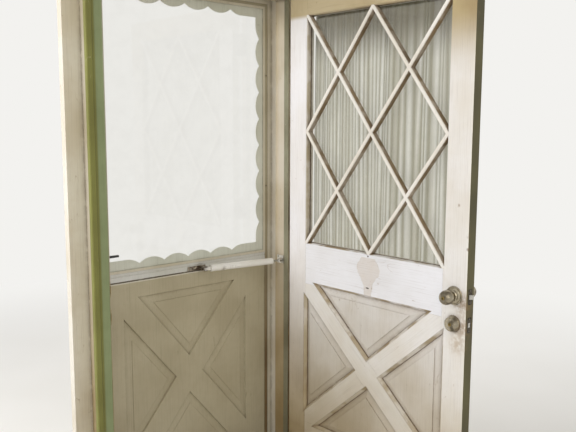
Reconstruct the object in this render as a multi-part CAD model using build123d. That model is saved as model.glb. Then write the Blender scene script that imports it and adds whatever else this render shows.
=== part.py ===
from build123d import *
import math
import os

os.makedirs("parts", exist_ok=True)

# Entrance door set: a wooden entry door with a cross-buck lower half and a diamond lattice
# window, standing open into the room, and an aluminium storm door closed on the outside.
# X runs to the right as seen from the room, Y outwards, Z up. The origin is under the sill,
# midway between the jambs, in the plane of the jambs' room side edges.

# Entry door leaf
door_width = 914.0
door_height = 2032.0
door_thickness = 44.5
stile_width = 101.6
bottom_rail_height = 180.0
cross_height = 624.0
lock_rail_height = 178.0
top_rail_height = 101.6
brace_width = 96.0
open_angle = 90.0

# Gaps round the entry door
side_gap = 3.0
head_gap = 3.0
sill_gap = 5.0
stop_gap = 3.0

# Door frame
jamb_depth = 133.35
jamb_thickness = 19.0
stop_thickness = 13.0
stop_ease = 2.0
sill_thickness = 38.0
sill_reach = 235.0
sill_slope_start = 180.0
sill_drop = 8.0
sill_nosing = 12.0
sill_horn = 14.0
threshold_height = 14.0
threshold_ramp = 20.0
threshold_nose = 2.0
threshold_ease = 1.0
threshold_flutes = 5
flute_inset = 10.0
flute_pitch = 12.0
flute_width = 4.0
flute_depth = 1.5
jamb_screw_radius = 3.0
jamb_screw_spacing = 560.0
jamb_screw_middle = 1220.0
jamb_screw_inset = 30.0

# Casings
casing_width = 66.0
casing_thickness = 18.0
casing_inner_thickness = 11.0
casing_band = 24.0
casing_reveal = 6.35
casing_ease = 3.0
casing_band_slope = 4.0
casing_band_fillet = 2.0
outside_casing_width = 88.0
outside_casing_thickness = 44.45
outside_casing_step = 12.0

# Weatherstrip on the stops
strip_width = 25.0
strip_thickness = 1.2
strip_setback = 2.5
strip_lip = 2.2
strip_lip_gap = 0.5
strip_lip_taper = 1.0
strip_lip_thickness = 0.6
strip_hook = 1.4
strip_hook_gap = 0.4
strip_end_gap = 1.0

# Raised panels of the cross-buck
panel_tongue = 10.0
panel_groove_depth = 9.0
panel_play = 0.4
panel_field_inset = 28.0
panel_field_drop = 2.5
panel_field_step = 3.5
sticking_width = 10.0
sticking_depth = 10.0
sticking_step = 2.5
sticking_ledge = 1.0
member_ease = 0.5

# Lattice window
lattice_bar_width = 20.0
lattice_bar_drop = 1.0
lattice_face_width = 12.6
lattice_quirk = 1.6
lattice_ledge = 0.8
lattice_cove_depth = 9.0
glass_thickness = 4.0
glass_front = 22.0
glass_play = 0.3
glass_edge_play = 1.0
glass_rabbet = 10.0
bead_chamfer = 6.0
window_chamfer_width = 4.2
bead_lap = 1.0
bead_setback = 0.5
bead_ease = 3.0

# Marks left on the lock rail
knocker_hole_radius = 3.5
knocker_hole_height = 972.6
knocker_slot_length = 16.0
knocker_slot_width = 4.5
knocker_slot_height = 845.0
knocker_mark_depth = 12.0

# Butt hinges
hinge_height = 101.6
hinge_leaf_thickness = 2.5
hinge_leaf_width = 47.0
hinge_barrel_radius = 7.0
hinge_pin_radius = 4.0
hinge_pin_head_radius = 5.5
hinge_pin_head = 4.0
hinge_pin_tail = 1.0
hinge_pin_offset = 7.0
hinge_top_setback = 127.0
hinge_bottom_setback = 254.0
hinge_knuckles = 5
knuckle_gap = 0.3
running_clearance = 0.06
fit_clearance = 0.3

# Locks
backset = 50.8
knob_height = 890.5
bolt_drop = 101.6
lock_bore_radius = 27.0
edge_bore_radius = 12.6
rose_radius = 33.5
rose_thickness = 14.0
rose_steps = [(0.0, 0.0), (0.0, 2.5), (1.5, 4.0), (5.0, 4.5), (7.0, 8.0), (11.0, 10.0), (14.0, 10.5)]
rose_collar = 4.5
knob_neck_radius = 12.0
knob_radius = 26.0
knob_reach = 66.0
knob_neck = 8.0
knob_back = [(9.0, 4.0), (3.0, 10.0), (0.0, 18.0)]
knob_front = [(0.5, 14.0), (3.0, 7.0), (7.0, 2.5), (10.0, 0.0)]
knob_shank_head = 1.0
knob_shank_radius = 8.0
knob_shank_depth = 17.0
key_plug_radius = 6.5
key_plug_depth = 18.0
key_plug_proud = 1.5
keyway_width = 2.0
keyway_height = 8.0
keyway_depth = 6.0
collar_radius = 30.0
collar_height = 22.0
collar_spigot = 6.0
collar_spigot_play = 3.0
collar_rim = 3.0
collar_waist = 1.5
collar_waist_height = 8.0
collar_shoulder = 5.0
collar_shoulder_drop = 3.0
collar_face_inset = 9.0
inner_collar_height = 6.0
inner_collar_rim = 2.5
deadbolt_plug_depth = 10.0
deadbolt_plug_proud = 1.0
turn_shaft_radius = 5.0
turn_length = 34.0
turn_width = 8.0
turn_height = 20.0
turn_shaft_depth = 8.0
faceplate_length = 57.15
faceplate_width = 25.4
faceplate_thickness = 3.0
faceplate_corner = 6.0
latch_tube_entry = 6.0
latch_bevel_stop = 1.0
latch_bevel_tip = 3.0
latch_tube_radius = 11.5
latch_bolt_width = 12.0
latch_bolt_height = 16.0
latch_bolt_throw = 11.0
latch_bolt_length = 38.0
dead_bolt_width = 12.0
dead_bolt_height = 16.0
dead_bolt_throw = 25.4
dead_bolt_tail = 16.6
strike_thickness = 1.6
strike_length = 57.0
strike_width = 27.0
strike_lip = 2.0
strike_play = 3.0

# Curtain
curtain_overlap = 12.6
curtain_foot_lap = 82.0
curtain_head_lap = 31.6
curtain_folds = 22
curtain_amplitude = 5.5
curtain_thickness = 1.4
rod_radius = 4.0
rod_overrun = 8.0
rod_arm_thickness = 3.0
rod_standoff = 26.0
rod_inset = 22.0
rod_bracket = 10.0

# Storm door
storm_gap = 3.0
storm_head_gap = 4.0
storm_face = 180.0
storm_thickness = 32.0
storm_stile_width = 35.3
storm_bottom = 52.0
storm_top_rail_height = 30.3
storm_window_bottom = 912.0
insert_width = 10.7
insert_proud = 2.5
insert_depth = 20.0
insert_lip = 16.2
insert_play = 0.3
storm_glass_thickness = 3.0
storm_glass_edge = 6.0
middle_rail_height = 33.8
middle_rail_ridge = 1.5
middle_rail_ridge_places = [9.0, 11.0, 14.0, 16.0]
stile_ease = 1.5
panel_shadow_gap = 6.0
panel_tongue_recess = 7.0
storm_panel_recess = 2.0
emboss_half_width = 310.0
emboss_bottom = 43.0
emboss_height = 752.0
emboss_brace = 102.0
emboss_bevel = 34.0
emboss_groove = 6.5
emboss_wall = 3.0
emboss_ledge = 3.0
emboss_rim = 2.2
emboss_rim_width = 1.2
emboss_field_drop = 0.8

# Scalloped trim in the storm window
scallop_pitch = 116.4
scallop_base = 20.0
scallop_rise = 20.0
scallop_thickness = 2.0
scallop_setback = 4.0
scallop_corner_run = 60.0

# Storm door bars, hinges and sweep
bar_thickness = 1.6
bar_lip = 23.0
bar_flange = 40.0
bar_web_gap = 3.4
bar_slot_play_y = 1.0
bar_slot_play_z = 1.5
bar_latch_play = 5.0
storm_barrel_radius = 4.5
storm_pin_radius = 2.2
storm_pin_setback = 0.5
storm_pin_standoff = 0.5
storm_hinge_height = 64.0
storm_hinge_inset = 210.0
storm_leaf_width = 34.0
sweep_thickness = 2.0
sweep_fin = 7.0
sweep_fin_thickness = 2.0
sweep_fin_insets = [6.0, 20.0]

# Storm door latch
storm_latch_height = 979.0
storm_latch_inset = 20.0
latch_plate_width = 26.0
latch_plate_height = 90.0
latch_plate_thickness = 5.0
latch_plate_corner = 8.0
grip_plate_thickness = 3.0
lever_length = 94.0
lever_standoff = 30.0
lever_width = 11.0
lever_thickness = 8.0
lever_shaft_radius = 5.0
lever_taper = 0.7
storm_bolt_width = 7.0
storm_bolt_height = 14.0
storm_bolt_reach = 9.0
storm_bolt_length = 30.0
storm_bolt_play = 2.0
grip_height = 130.0
grip_standoff = 38.0
grip_width = 18.0
grip_thickness = 10.0
grip_foot = 16.0
grip_boss = 30.0
button_radius = 6.5
button_reach = 9.0
button_travel = 5.0

# Door closer
closer_height = 876.0
closer_reach = 364.0
closer_pivot_y = 140.0
closer_jamb_standoff = 23.0
closer_jamb_y = 80.0
closer_tube_radius = 14.0
closer_tube_wall = 1.5
closer_tube_start = 22.0
closer_rod_bare = 38.9
closer_cap = 10.0
closer_rod_radius = 4.0
closer_piston_at = 100.0
closer_piston_length = 14.0
closer_eye_radius = 8.0
closer_tongue = 12.0
closer_eye_play = 2.0
closer_pin_radius = 3.0
ear_thickness = 3.0
ear_width = 16.0
bracket_plate = 3.0
door_bracket_length = 90.0
door_bracket_lead = 25.0
door_bracket_height = 18.0
jamb_bracket_length = 42.0
jamb_bracket_gap = 1.5
jamb_bracket_height = 36.0

# Places worked out from the sizes above
opening_half = door_width / 2 + side_gap
door_half = door_width / 2
frame_half = opening_half + jamb_thickness
threshold_top = sill_thickness + threshold_height
door_bottom = threshold_top + sill_gap
door_top = door_bottom + door_height
head_height = door_top + head_gap
frame_top = head_height + jamb_thickness
stop_face = door_thickness + stop_gap
stop_half = opening_half - stop_thickness
stop_top = head_height - stop_thickness
pin_x = opening_half - side_gap / 2
pin_y = -hinge_pin_offset
stile_inner = door_half - stile_width
cross_bottom = door_bottom + bottom_rail_height
cross_top = cross_bottom + cross_height
glass_bottom = cross_top + lock_rail_height
glass_top = door_top - top_rail_height
casing_face = jamb_depth + outside_casing_thickness
lock_x = backset - door_half
knob_z = door_bottom + knob_height
bolt_z = knob_z - bolt_drop
door_middle = door_thickness / 2
dead_bolt_length = dead_bolt_throw + dead_bolt_tail
storm_half = opening_half - storm_gap
storm_stile_inner = storm_half - storm_stile_width
storm_back = storm_face + storm_thickness
storm_top = head_height - storm_head_gap
window_half = storm_stile_inner - insert_width
window_top = storm_top - storm_top_rail_height - insert_width
window_bottom = door_bottom + storm_window_bottom
insert_face = storm_face - insert_proud
storm_pin_x = opening_half - storm_pin_setback
storm_pin_y = storm_back + storm_barrel_radius + storm_pin_standoff
storm_latch_x = storm_latch_inset - storm_half
storm_latch_z = door_bottom + storm_latch_height
storm_button_z = storm_latch_z + grip_height / 2 - grip_boss / 2
closer_z = door_bottom + closer_height
closer_jamb_x = stop_half - closer_jamb_standoff
closer_pivot_x = closer_jamb_x - closer_reach
closer_length = math.hypot(closer_reach, closer_pivot_y - closer_jamb_y)
closer_tube_end = closer_length - closer_rod_bare
curtain_width = 2 * (stile_inner + curtain_overlap)
curtain_low = glass_bottom - curtain_foot_lap
curtain_high = glass_top + curtain_head_lap
rod_length = curtain_width + 2 * rod_overrun
hinge_centres = [
    door_bottom + hinge_bottom_setback + hinge_height / 2,
    door_bottom + (door_height + hinge_bottom_setback - hinge_top_setback) / 2,
    door_top - hinge_top_setback - hinge_height / 2,
]


def block(x0, x1, y0, y1, z0, z1):
    """A rectangular block between two corners."""
    middle = Pos((x0 + x1) / 2, (y0 + y1) / 2, (z0 + z1) / 2)
    return middle * Box(x1 - x0, y1 - y0, z1 - z0)


def across(points, y0, y1):
    """An upright outline of (x, z) points, thickened from y0 to y1."""
    face = Plane.XZ.offset(-y0) * Polygon(*points, align=None)
    return extrude(face, amount=y1 - y0, dir=(0, 1, 0))


def along_x(points, x0, x1):
    """A section of (y, z) points, drawn out from x0 to x1."""
    face = Plane.YZ.offset(x0) * Polygon(*points, align=None)
    return extrude(face, amount=x1 - x0, dir=(1, 0, 0))


def along_z(points, z0, z1):
    """A section of (x, y) points, drawn out from z0 to z1."""
    face = Plane.XY.offset(z0) * Polygon(*points, align=None)
    return extrude(face, amount=z1 - z0, dir=(0, 0, 1))


def post(x, y, radius, z0, z1):
    """An upright round bar."""
    return Pos(x, y, (z0 + z1) / 2) * Cylinder(radius, z1 - z0)


def dowel(x, z, radius, y0, y1):
    """A round bar that runs through the door's thickness."""
    return Pos(x, (y0 + y1) / 2, z) * Rot(90, 0, 0) * Cylinder(radius, y1 - y0)


def bolt_bar(y, z, radius, x0, x1):
    """A round bar that runs across the door's width."""
    return Pos((x0 + x1) / 2, y, z) * Rot(0, 90, 0) * Cylinder(radius, x1 - x0)


def mirrored(shape):
    """The same shape on the other side of the door's middle."""
    return mirror(shape, about=Plane.YZ)


def opened(shape):
    """Turns a piece of the entry door from closed to where the door stands."""
    return shape.rotate(Axis((pin_x, pin_y, 0), (0, 0, 1)), open_angle)


def turned(profile, x, z, outward):
    """Turns (radius, height) points about an axis that stands on a face of the door."""
    face = Plane.XY * Polygon(*profile, align=None)
    solid = revolve(face, axis=Axis.Y)
    if outward:
        return Pos(x, door_thickness, z) * solid
    return Pos(x, 0, z) * Rot(180, 0, 0) * solid


def hinge_jamb_piece():
    """The jamb on the hinge side, let in for the three hinge leaves."""
    jamb = block(opening_half, frame_half, 0, jamb_depth, sill_thickness, frame_top)
    leaf_end = hinge_leaf_width - hinge_pin_offset
    for centre in hinge_centres:
        low = centre - hinge_height / 2
        high = centre + hinge_height / 2
        jamb -= block(opening_half, opening_half + hinge_leaf_thickness, 0, leaf_end, low, high)
    return jamb - jamb_screw_holes(opening_half, frame_half)


def jamb_screw_holes(x0, x1):
    """Three fixing holes through a jamb."""
    holes = []
    for step in (-1, 0, 1):
        height = jamb_screw_middle + step * jamb_screw_spacing
        holes.append(bolt_bar(jamb_screw_inset, height, jamb_screw_radius, x0, x1))
    return holes


def strike_hole(bolt_width, bolt_height, height, x0, x1):
    """The pocket that a bolt enters."""
    half_width = bolt_width / 2 + strike_play
    half_height = bolt_height / 2 + strike_play
    low = door_middle - half_width
    high = door_middle + half_width
    return block(x0, x1, low, high, height - half_height, height + half_height)


def strike_jamb_piece():
    """The jamb on the lock side, with its strike plates' seats and bolt pockets."""
    jamb = block(-frame_half, -opening_half, 0, jamb_depth, sill_thickness, frame_top)
    for height in (knob_z, bolt_z):
        jamb -= strike_outline(height)
    jamb -= strike_hole(latch_bolt_width, latch_bolt_height, knob_z, -frame_half, -opening_half)
    jamb -= strike_hole(dead_bolt_width, dead_bolt_height, bolt_z, -frame_half, -opening_half)
    return jamb - jamb_screw_holes(-frame_half, -opening_half)


def strike_outline(height):
    """The blank of one strike plate, let in flush with the jamb."""
    seat = -opening_half - strike_thickness
    low = height - strike_length / 2
    high = height + strike_length / 2
    return block(seat, -opening_half, 0, door_middle + strike_width / 2, low, high)


def strike_plates_pieces():
    """The two strike plates, each with its bolt hole and a lip towards the room."""
    plates = []
    sizes = [(knob_z, latch_bolt_width, latch_bolt_height), (bolt_z, dead_bolt_width, dead_bolt_height)]
    for height, width, tall in sizes:
        lip_half = strike_length / 4
        seat = -opening_half - strike_thickness
        plate = strike_outline(height)
        plate += block(seat, -opening_half, -strike_lip, 0, height - lip_half, height + lip_half)
        plate -= strike_hole(width, tall, height, seat, -opening_half)
        plates.append(plate)
    return plates


def head_jamb_piece():
    """The jamb over the door, between the side jambs."""
    return block(-opening_half, opening_half, 0, jamb_depth, head_height, frame_top)


def sill_piece():
    """The wooden sill, sloped outside, with horns under the outside casings."""
    inner = [(-sill_nosing, 0), (jamb_depth, 0), (jamb_depth, sill_thickness), (-sill_nosing, sill_thickness)]
    outer_half = opening_half + outside_casing_width + sill_horn
    outer = [
        (jamb_depth, 0),
        (sill_reach - sill_drop, 0),
        (sill_reach, sill_drop),
        (sill_reach, sill_thickness - sill_drop),
        (sill_slope_start, sill_thickness),
        (jamb_depth, sill_thickness),
    ]
    sill = along_x(inner, -opening_half, opening_half)
    sill += block(-frame_half, frame_half, 0, jamb_depth, 0, sill_thickness)
    return sill + along_x(outer, -outer_half, outer_half)


def threshold_piece():
    """The metal threshold that the entry door closes over."""
    section = [
        (-sill_nosing, sill_thickness),
        (jamb_depth, sill_thickness),
        (jamb_depth, threshold_top - threshold_ease),
        (jamb_depth - threshold_ease, threshold_top),
        (threshold_ramp, threshold_top),
        (-sill_nosing, sill_thickness + threshold_nose),
    ]
    threshold = along_x(section, -opening_half, opening_half)
    for index in range(threshold_flutes):
        middle = stop_face + flute_inset + index * flute_pitch
        threshold -= block(
            -stop_half, stop_half,
            middle - flute_width / 2, middle + flute_width / 2,
            threshold_top - flute_depth, threshold_top)
    return threshold


def door_stops_pieces():
    """The stops that the entry door closes against, with eased room side edges."""
    section = [
        (opening_half, stop_face),
        (stop_half + stop_ease, stop_face),
        (stop_half, stop_face + stop_ease),
        (stop_half, jamb_depth),
        (opening_half, jamb_depth),
    ]
    side = along_z(section, threshold_top, stop_top)
    head_section = [
        (stop_face, head_height),
        (stop_face, stop_top + stop_ease),
        (stop_face + stop_ease, stop_top),
        (jamb_depth, stop_top),
        (jamb_depth, head_height),
    ]
    head = along_x(head_section, -opening_half, opening_half)
    return [side, mirrored(side), head]


def mitred_frame(section, inner_half, width, inner_top):
    """Two legs and a head of one moulding, mitred at the corners. The section gives
    (distance from the inner edge, y) points."""
    outer_half = inner_half + width
    outer_top = inner_top + width
    leg = along_z([(inner_half + reach, depth) for reach, depth in section], 0, outer_top)
    head = along_x([(depth, inner_top + reach) for reach, depth in section], -outer_half, outer_half)
    y0 = min(depth for _, depth in section)
    y1 = max(depth for _, depth in section)
    leg_side = [(inner_half, 0), (outer_half, 0), (outer_half, outer_top), (inner_half, inner_top)]
    head_side = [
        (-inner_half, inner_top), (inner_half, inner_top),
        (outer_half, outer_top), (-outer_half, outer_top)]
    leg = leg & across(leg_side, y0, y1)
    head = head & across(head_side, y0, y1)
    return [leg, mirrored(leg), head]


def inside_casings_pieces():
    """The room side casings, with a raised back band."""
    band = casing_width - casing_band
    section = [
        (0, 0),
        (casing_width, 0),
        (casing_width, -casing_thickness + casing_ease),
        (casing_width - casing_ease, -casing_thickness),
        (band + casing_band_slope, -casing_thickness),
        (band, -casing_inner_thickness - casing_band_fillet),
        (band, -casing_inner_thickness),
        (casing_band_slope, -casing_inner_thickness),
        (0, -casing_inner_thickness + casing_band_slope),
    ]
    return mitred_frame(section, opening_half + casing_reveal, casing_width, head_height + casing_reveal)


def outside_casings_pieces():
    """The thick outside casings that carry the storm door, standing on the sill."""
    step = outside_casing_step
    section = [
        (0, jamb_depth),
        (outside_casing_width, jamb_depth),
        (outside_casing_width, casing_face - step),
        (outside_casing_width - step, casing_face - step / 2),
        (outside_casing_width - 2 * step, casing_face),
        (0, casing_face),
    ]
    pieces = mitred_frame(section, opening_half, outside_casing_width, head_height)
    cut = block(-2 * frame_half, 2 * frame_half, jamb_depth, casing_face, 0, sill_thickness)
    return [pieces[0] - cut, pieces[1] - cut, pieces[2]]


def weatherstrips_pieces():
    """A strip on each stop: a flat carrier with a lip that meets the door's face."""
    start = stop_face + strip_setback
    lip_tip = door_thickness + strip_lip_gap
    face = stop_half
    section = [
        (face, start + strip_width),
        (face - strip_thickness, start + strip_width),
        (face - strip_thickness, start),
        (face - strip_lip, lip_tip + strip_lip_taper),
        (face - strip_lip + strip_lip_thickness, lip_tip),
        (face + strip_hook, lip_tip),
        (face + strip_hook, stop_face - strip_hook_gap),
        (face, stop_face),
    ]
    side = along_z(section, threshold_top + strip_end_gap, stop_top - strip_lip - strip_end_gap)
    head_section = [(depth, stop_top + (reach - face)) for reach, depth in section]
    head = along_x(head_section, -stop_half, stop_half)
    return [side, mirrored(side), head]


def knuckle_spans(centre, height, count, own_first):
    """The heights of one leaf's knuckles, first and every other one, or those between."""
    spans = []
    pitch = height / count
    low = centre - height / 2
    start = 0 if own_first else 1
    for index in range(start, count, 2):
        spans.append((low + index * pitch + knuckle_gap / 2, low + (index + 1) * pitch - knuckle_gap / 2))
    return spans


def hinge_leaf(centre, plate_x0, plate_x1, own_first):
    """One leaf of a butt hinge, closed: a plate beside the barrel and its knuckles."""
    low = centre - hinge_height / 2
    high = centre + hinge_height / 2
    leaf = block(plate_x0, plate_x1, pin_y, pin_y + hinge_leaf_width, low, high)
    clear_radius = hinge_barrel_radius + fit_clearance
    for start, end in knuckle_spans(centre, hinge_height, hinge_knuckles, not own_first):
        leaf -= post(pin_x, pin_y, clear_radius, start - knuckle_gap, end + knuckle_gap)
    for start, end in knuckle_spans(centre, hinge_height, hinge_knuckles, own_first):
        leaf += post(pin_x, pin_y, hinge_barrel_radius, start, end)
    return leaf - post(pin_x, pin_y, hinge_pin_radius + running_clearance, low, high)


def jamb_hinge_leaves_pieces():
    """The leaves let into the jamb, with three knuckles each."""
    return [hinge_leaf(z, opening_half, opening_half + hinge_leaf_thickness, True) for z in hinge_centres]


def door_hinge_leaves_pieces():
    """The leaves let into the door's edge, with two knuckles each."""
    return [opened(hinge_leaf(z, door_half - hinge_leaf_thickness, door_half, False)) for z in hinge_centres]


def hinge_pins_pieces():
    """The three loose pins, each with a button head."""
    pins = []
    for centre in hinge_centres:
        low = centre - hinge_height / 2
        high = centre + hinge_height / 2
        pin = post(pin_x, pin_y, hinge_pin_radius, low - hinge_pin_tail, high)
        pin += post(pin_x, pin_y, hinge_pin_head_radius, high, high + hinge_pin_head)
        pins.append(pin)
    return pins


def cross_outlines():
    """The faces, in (x, z), of the two braces' strips and of the four openings between them.
    Seen from outside, the long brace falls from the hinge side to the lock side."""
    width = 2 * stile_inner
    middle = Pos(0, cross_bottom + cross_height / 2)
    region = middle * Rectangle(width, cross_height)
    slope = math.degrees(math.atan2(cross_height, width))
    length = 2 * math.hypot(width, cross_height)
    rising = middle * Rot(0, 0, slope) * Rectangle(length, brace_width)
    falling = middle * Rot(0, 0, -slope) * Rectangle(length, brace_width)
    long_strip = region & rising
    short_strips = (region & falling) - long_strip
    openings = region - rising - falling
    return long_strip, short_strips, openings


def upright(face, y):
    """A face drawn in (x, z), stood up at depth y."""
    return Plane.XZ.offset(-y) * face


def slab(face, y0, y1):
    """A face drawn in (x, z), thickened from y0 to y1."""
    return extrude(upright(face, y0), amount=y1 - y0, dir=(0, 1, 0))


def grown(face, amount):
    """A face with its outline moved outwards, or inwards where the amount is negative,
    with its corners kept sharp."""
    return offset(face, amount, kind=Kind.INTERSECTION)


def taper(face, y0, grow0, y1, grow1):
    """A solid between two copies of an outline, each grown by its own amount."""
    return loft([upright(grown(face, grow0), y0), upright(grown(face, grow1), y1)])


def panel_cut(face):
    """What one raised panel takes out of the members round it: the groove for its tongue
    and the moulded sticking on both sides."""
    low = door_middle - panel_tongue / 2 - panel_play
    high = door_middle + panel_tongue / 2 + panel_play
    cut = slab(grown(face, panel_groove_depth), low, high)
    front = door_thickness - sticking_step
    cut += taper(face, front - sticking_depth, 0, front, sticking_width)
    cut += slab(grown(face, sticking_width + sticking_ledge), front, door_thickness)
    cut += taper(face, sticking_step, sticking_width, sticking_step + sticking_depth, 0)
    cut += slab(grown(face, sticking_width + sticking_ledge), 0, sticking_step)
    return cut


def raised_panel(face):
    """A panel with a tongue all round, a bevel and a raised field on each side."""
    low = door_middle - panel_tongue / 2
    high = door_middle + panel_tongue / 2
    edge = -panel_play
    front = door_thickness - panel_field_drop
    shoulder = front - panel_field_step
    panel = slab(grown(face, panel_groove_depth - panel_play), low, high)
    panel += taper(face, high, edge, shoulder, -panel_field_inset)
    panel += slab(grown(face, -panel_field_inset), shoulder, front)
    panel += taper(face, door_thickness - shoulder, -panel_field_inset, low, edge)
    panel += slab(grown(face, -panel_field_inset), panel_field_drop, door_thickness - shoulder)
    return panel


def window_outline():
    """The window's sight size, in (x, z)."""
    return Pos(0, (glass_bottom + glass_top) / 2) * Rectangle(2 * stile_inner, glass_top - glass_bottom)


def window_chamfer():
    """The small sticking that the window's outside edge takes out of its members."""
    return taper(window_outline(), door_thickness - bead_chamfer, 0, door_thickness, window_chamfer_width)


def glass_cut():
    """What the window takes out of the members round it: the sight size, a small sticking
    outside and the rabbet for the glass and its beads inside."""
    return slab(grown(window_outline(), glass_rabbet), 0, glass_front) + window_chamfer()


def member(face):
    """A stile, rail or brace of one outline, its edges eased on both faces, so that a fine
    V shows where two members meet."""
    front = door_thickness - member_ease
    bar = slab(face, member_ease, front)
    bar += taper(face, front, 0, door_thickness, -member_ease)
    return bar + taper(face, 0, -member_ease, member_ease, 0)


def member_outline(x0, x1, z0, z1):
    """The (x, z) rectangle of an upright or level member."""
    return Pos((x0 + x1) / 2, (z0 + z1) / 2) * Rectangle(x1 - x0, z1 - z0)


def frame_members():
    """The stiles, rails and braces of the entry door, closed, before they are bored."""
    long_strip, short_strips, openings = cross_outlines()
    cuts = [panel_cut(face) for face in openings.faces()]
    window = glass_cut()
    halves = sorted(short_strips.faces(), key=lambda face: face.center().Y)
    outlines = {
        "hinge_stile": member_outline(stile_inner, door_half, door_bottom, door_top),
        "lock_stile": member_outline(-door_half, -stile_inner, door_bottom, door_top),
        "top_rail": member_outline(-stile_inner, stile_inner, glass_top, door_top),
        "lock_rail": member_outline(-stile_inner, stile_inner, cross_top, glass_bottom),
        "bottom_rail": member_outline(-stile_inner, stile_inner, door_bottom, cross_bottom),
        "long_brace": long_strip.faces()[0],
        "lower_brace": halves[0],
        "upper_brace": halves[1],
    }
    members = {name: member(outline) for name, outline in outlines.items()}
    for name in members:
        for cut in cuts:
            members[name] = members[name] - cut
    for name in ("hinge_stile", "lock_stile", "top_rail", "lock_rail"):
        members[name] = members[name] - window
    return members


def hinge_stile_piece(stile):
    """The hinge stile, let in for the leaves."""
    leaf_end = hinge_leaf_width - hinge_pin_offset
    for centre in hinge_centres:
        low = centre - hinge_height / 2
        high = centre + hinge_height / 2
        stile -= block(door_half - hinge_leaf_thickness, door_half, 0, leaf_end, low, high)
    return stile


def lock_stile_piece(stile):
    """The lock stile, bored for the knobs and the deadbolt and let in for two faceplates."""
    for height in (knob_z, bolt_z):
        stile -= dowel(lock_x, height, lock_bore_radius, 0, door_thickness)
        stile -= bolt_bar(door_middle, height, edge_bore_radius, -door_half, lock_x)
        stile -= faceplate(height)
    return stile


def faceplate(height):
    """The plate of a latch or bolt, flush with the door's edge, with rounded corners."""
    plate = Pos(-door_half, door_middle, height) * Rot(0, 90, 0) * RectangleRounded(
        faceplate_length, faceplate_width, faceplate_corner)
    return extrude(plate, amount=faceplate_thickness, dir=(1, 0, 0))


def lock_rail_piece(rail):
    """The lock rail, with the hole and the slot that an old fitting left in it."""
    depth = door_thickness - knocker_mark_depth
    hole_z = door_bottom + knocker_hole_height
    slot_z = door_bottom + knocker_slot_height
    rail -= dowel(0, hole_z, knocker_hole_radius, depth, door_thickness)
    slot = Pos(0, slot_z) * SlotOverall(knocker_slot_length, knocker_slot_width)
    return rail - slab(slot, depth, door_thickness)


def raised_panels():
    """The four panels of the cross-buck, by where they lie."""
    openings = cross_outlines()[2].faces()
    by_height = sorted(openings, key=lambda face: face.center().Y)
    by_side = sorted(openings, key=lambda face: face.center().X)
    return {
        "panel_bottom": raised_panel(by_height[0]),
        "panel_top": raised_panel(by_height[-1]),
        "panel_lock_side": raised_panel(by_side[0]),
        "panel_hinge_side": raised_panel(by_side[-1]),
    }


def lattice_bar_outline(start, end):
    """A bar's (x, z) outline between two points of the window, cut to the window."""
    length = math.dist(start, end) + 4 * lattice_bar_width
    angle = math.degrees(math.atan2(end[1] - start[1], end[0] - start[0]))
    middle = Pos((start[0] + end[0]) / 2, (start[1] + end[1]) / 2)
    return window_outline() & (middle * Rot(0, 0, angle) * Rectangle(length, lattice_bar_width))


def lattice_bar(start, end, low):
    """A moulded bar between two points, from depth low to its face: a flat face, a quirk
    and a cove on each side. Its ends are coped to the window's sticking."""
    front = door_thickness - lattice_bar_drop
    half = lattice_bar_width / 2
    face_half = lattice_face_width / 2
    side = [
        (half, low),
        (half, front - lattice_cove_depth),
        (face_half + lattice_ledge, front - lattice_quirk),
        (face_half, front - lattice_quirk),
        (face_half, front),
    ]
    section = side + [(-reach, depth) for reach, depth in reversed(side)]
    length = math.dist(start, end)
    run = (end[0] - start[0]) / length
    climb = (end[1] - start[1]) / length
    middle = ((start[0] + end[0]) / 2, 0, (start[1] + end[1]) / 2)
    plane = Plane(origin=middle, x_dir=(climb, 0, -run), z_dir=(run, 0, climb))
    bar = extrude(plane * Polygon(*section, align=None), amount=length / 2 + 2 * lattice_bar_width, both=True)
    return bar & (slab(window_outline(), low, front) + window_chamfer())


def lattice_pieces():
    """Two long diagonals, halved at their crossing, and four bars that join the middles of
    the window's sides, halved over the diagonals and mitred where they meet."""
    left = -stile_inner
    right = stile_inner
    bottom = glass_bottom
    top = glass_top
    middle_z = (bottom + top) / 2
    back = glass_front
    half = (glass_front + door_thickness - lattice_bar_drop - lattice_cove_depth) / 2
    rising_ends = ((left, bottom), (right, top))
    falling_ends = ((left, top), (right, bottom))
    rising = lattice_bar_outline(*rising_ends)
    falling = lattice_bar_outline(*falling_ends)
    rising_bar = lattice_bar(*rising_ends, back) - lattice_bar(*falling_ends, half)
    falling_bar = lattice_bar(*falling_ends, back) - slab(rising, back, half)
    bars = []
    for foot in (bottom, top):
        for side in (left, right):
            start = (0, foot)
            end = (side, middle_z)
            corner_x = side + math.copysign(window_chamfer_width, side)
            corner_z = foot + math.copysign(window_chamfer_width, foot - middle_z)
            low_x, high_x = sorted((0, corner_x))
            low_z, high_z = sorted((middle_z, corner_z))
            quarter = block(low_x, high_x, back, door_thickness, low_z, high_z)
            bar = lattice_bar(start, end, back) & quarter
            bar -= slab(rising, back, half)
            bar -= slab(falling, back, half)
            upper = lattice_bar(start, end, half) & quarter
            rising_bar -= upper
            falling_bar -= upper
            bars.append(bar)
    return [rising_bar, falling_bar] + bars


def glass_pane_piece():
    """The window's pane, behind the lattice."""
    reach = glass_rabbet - glass_edge_play
    back = glass_front - glass_play - glass_thickness
    return block(
        -stile_inner - reach, stile_inner + reach,
        back, glass_front - glass_play,
        glass_bottom - reach, glass_top + reach)


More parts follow.
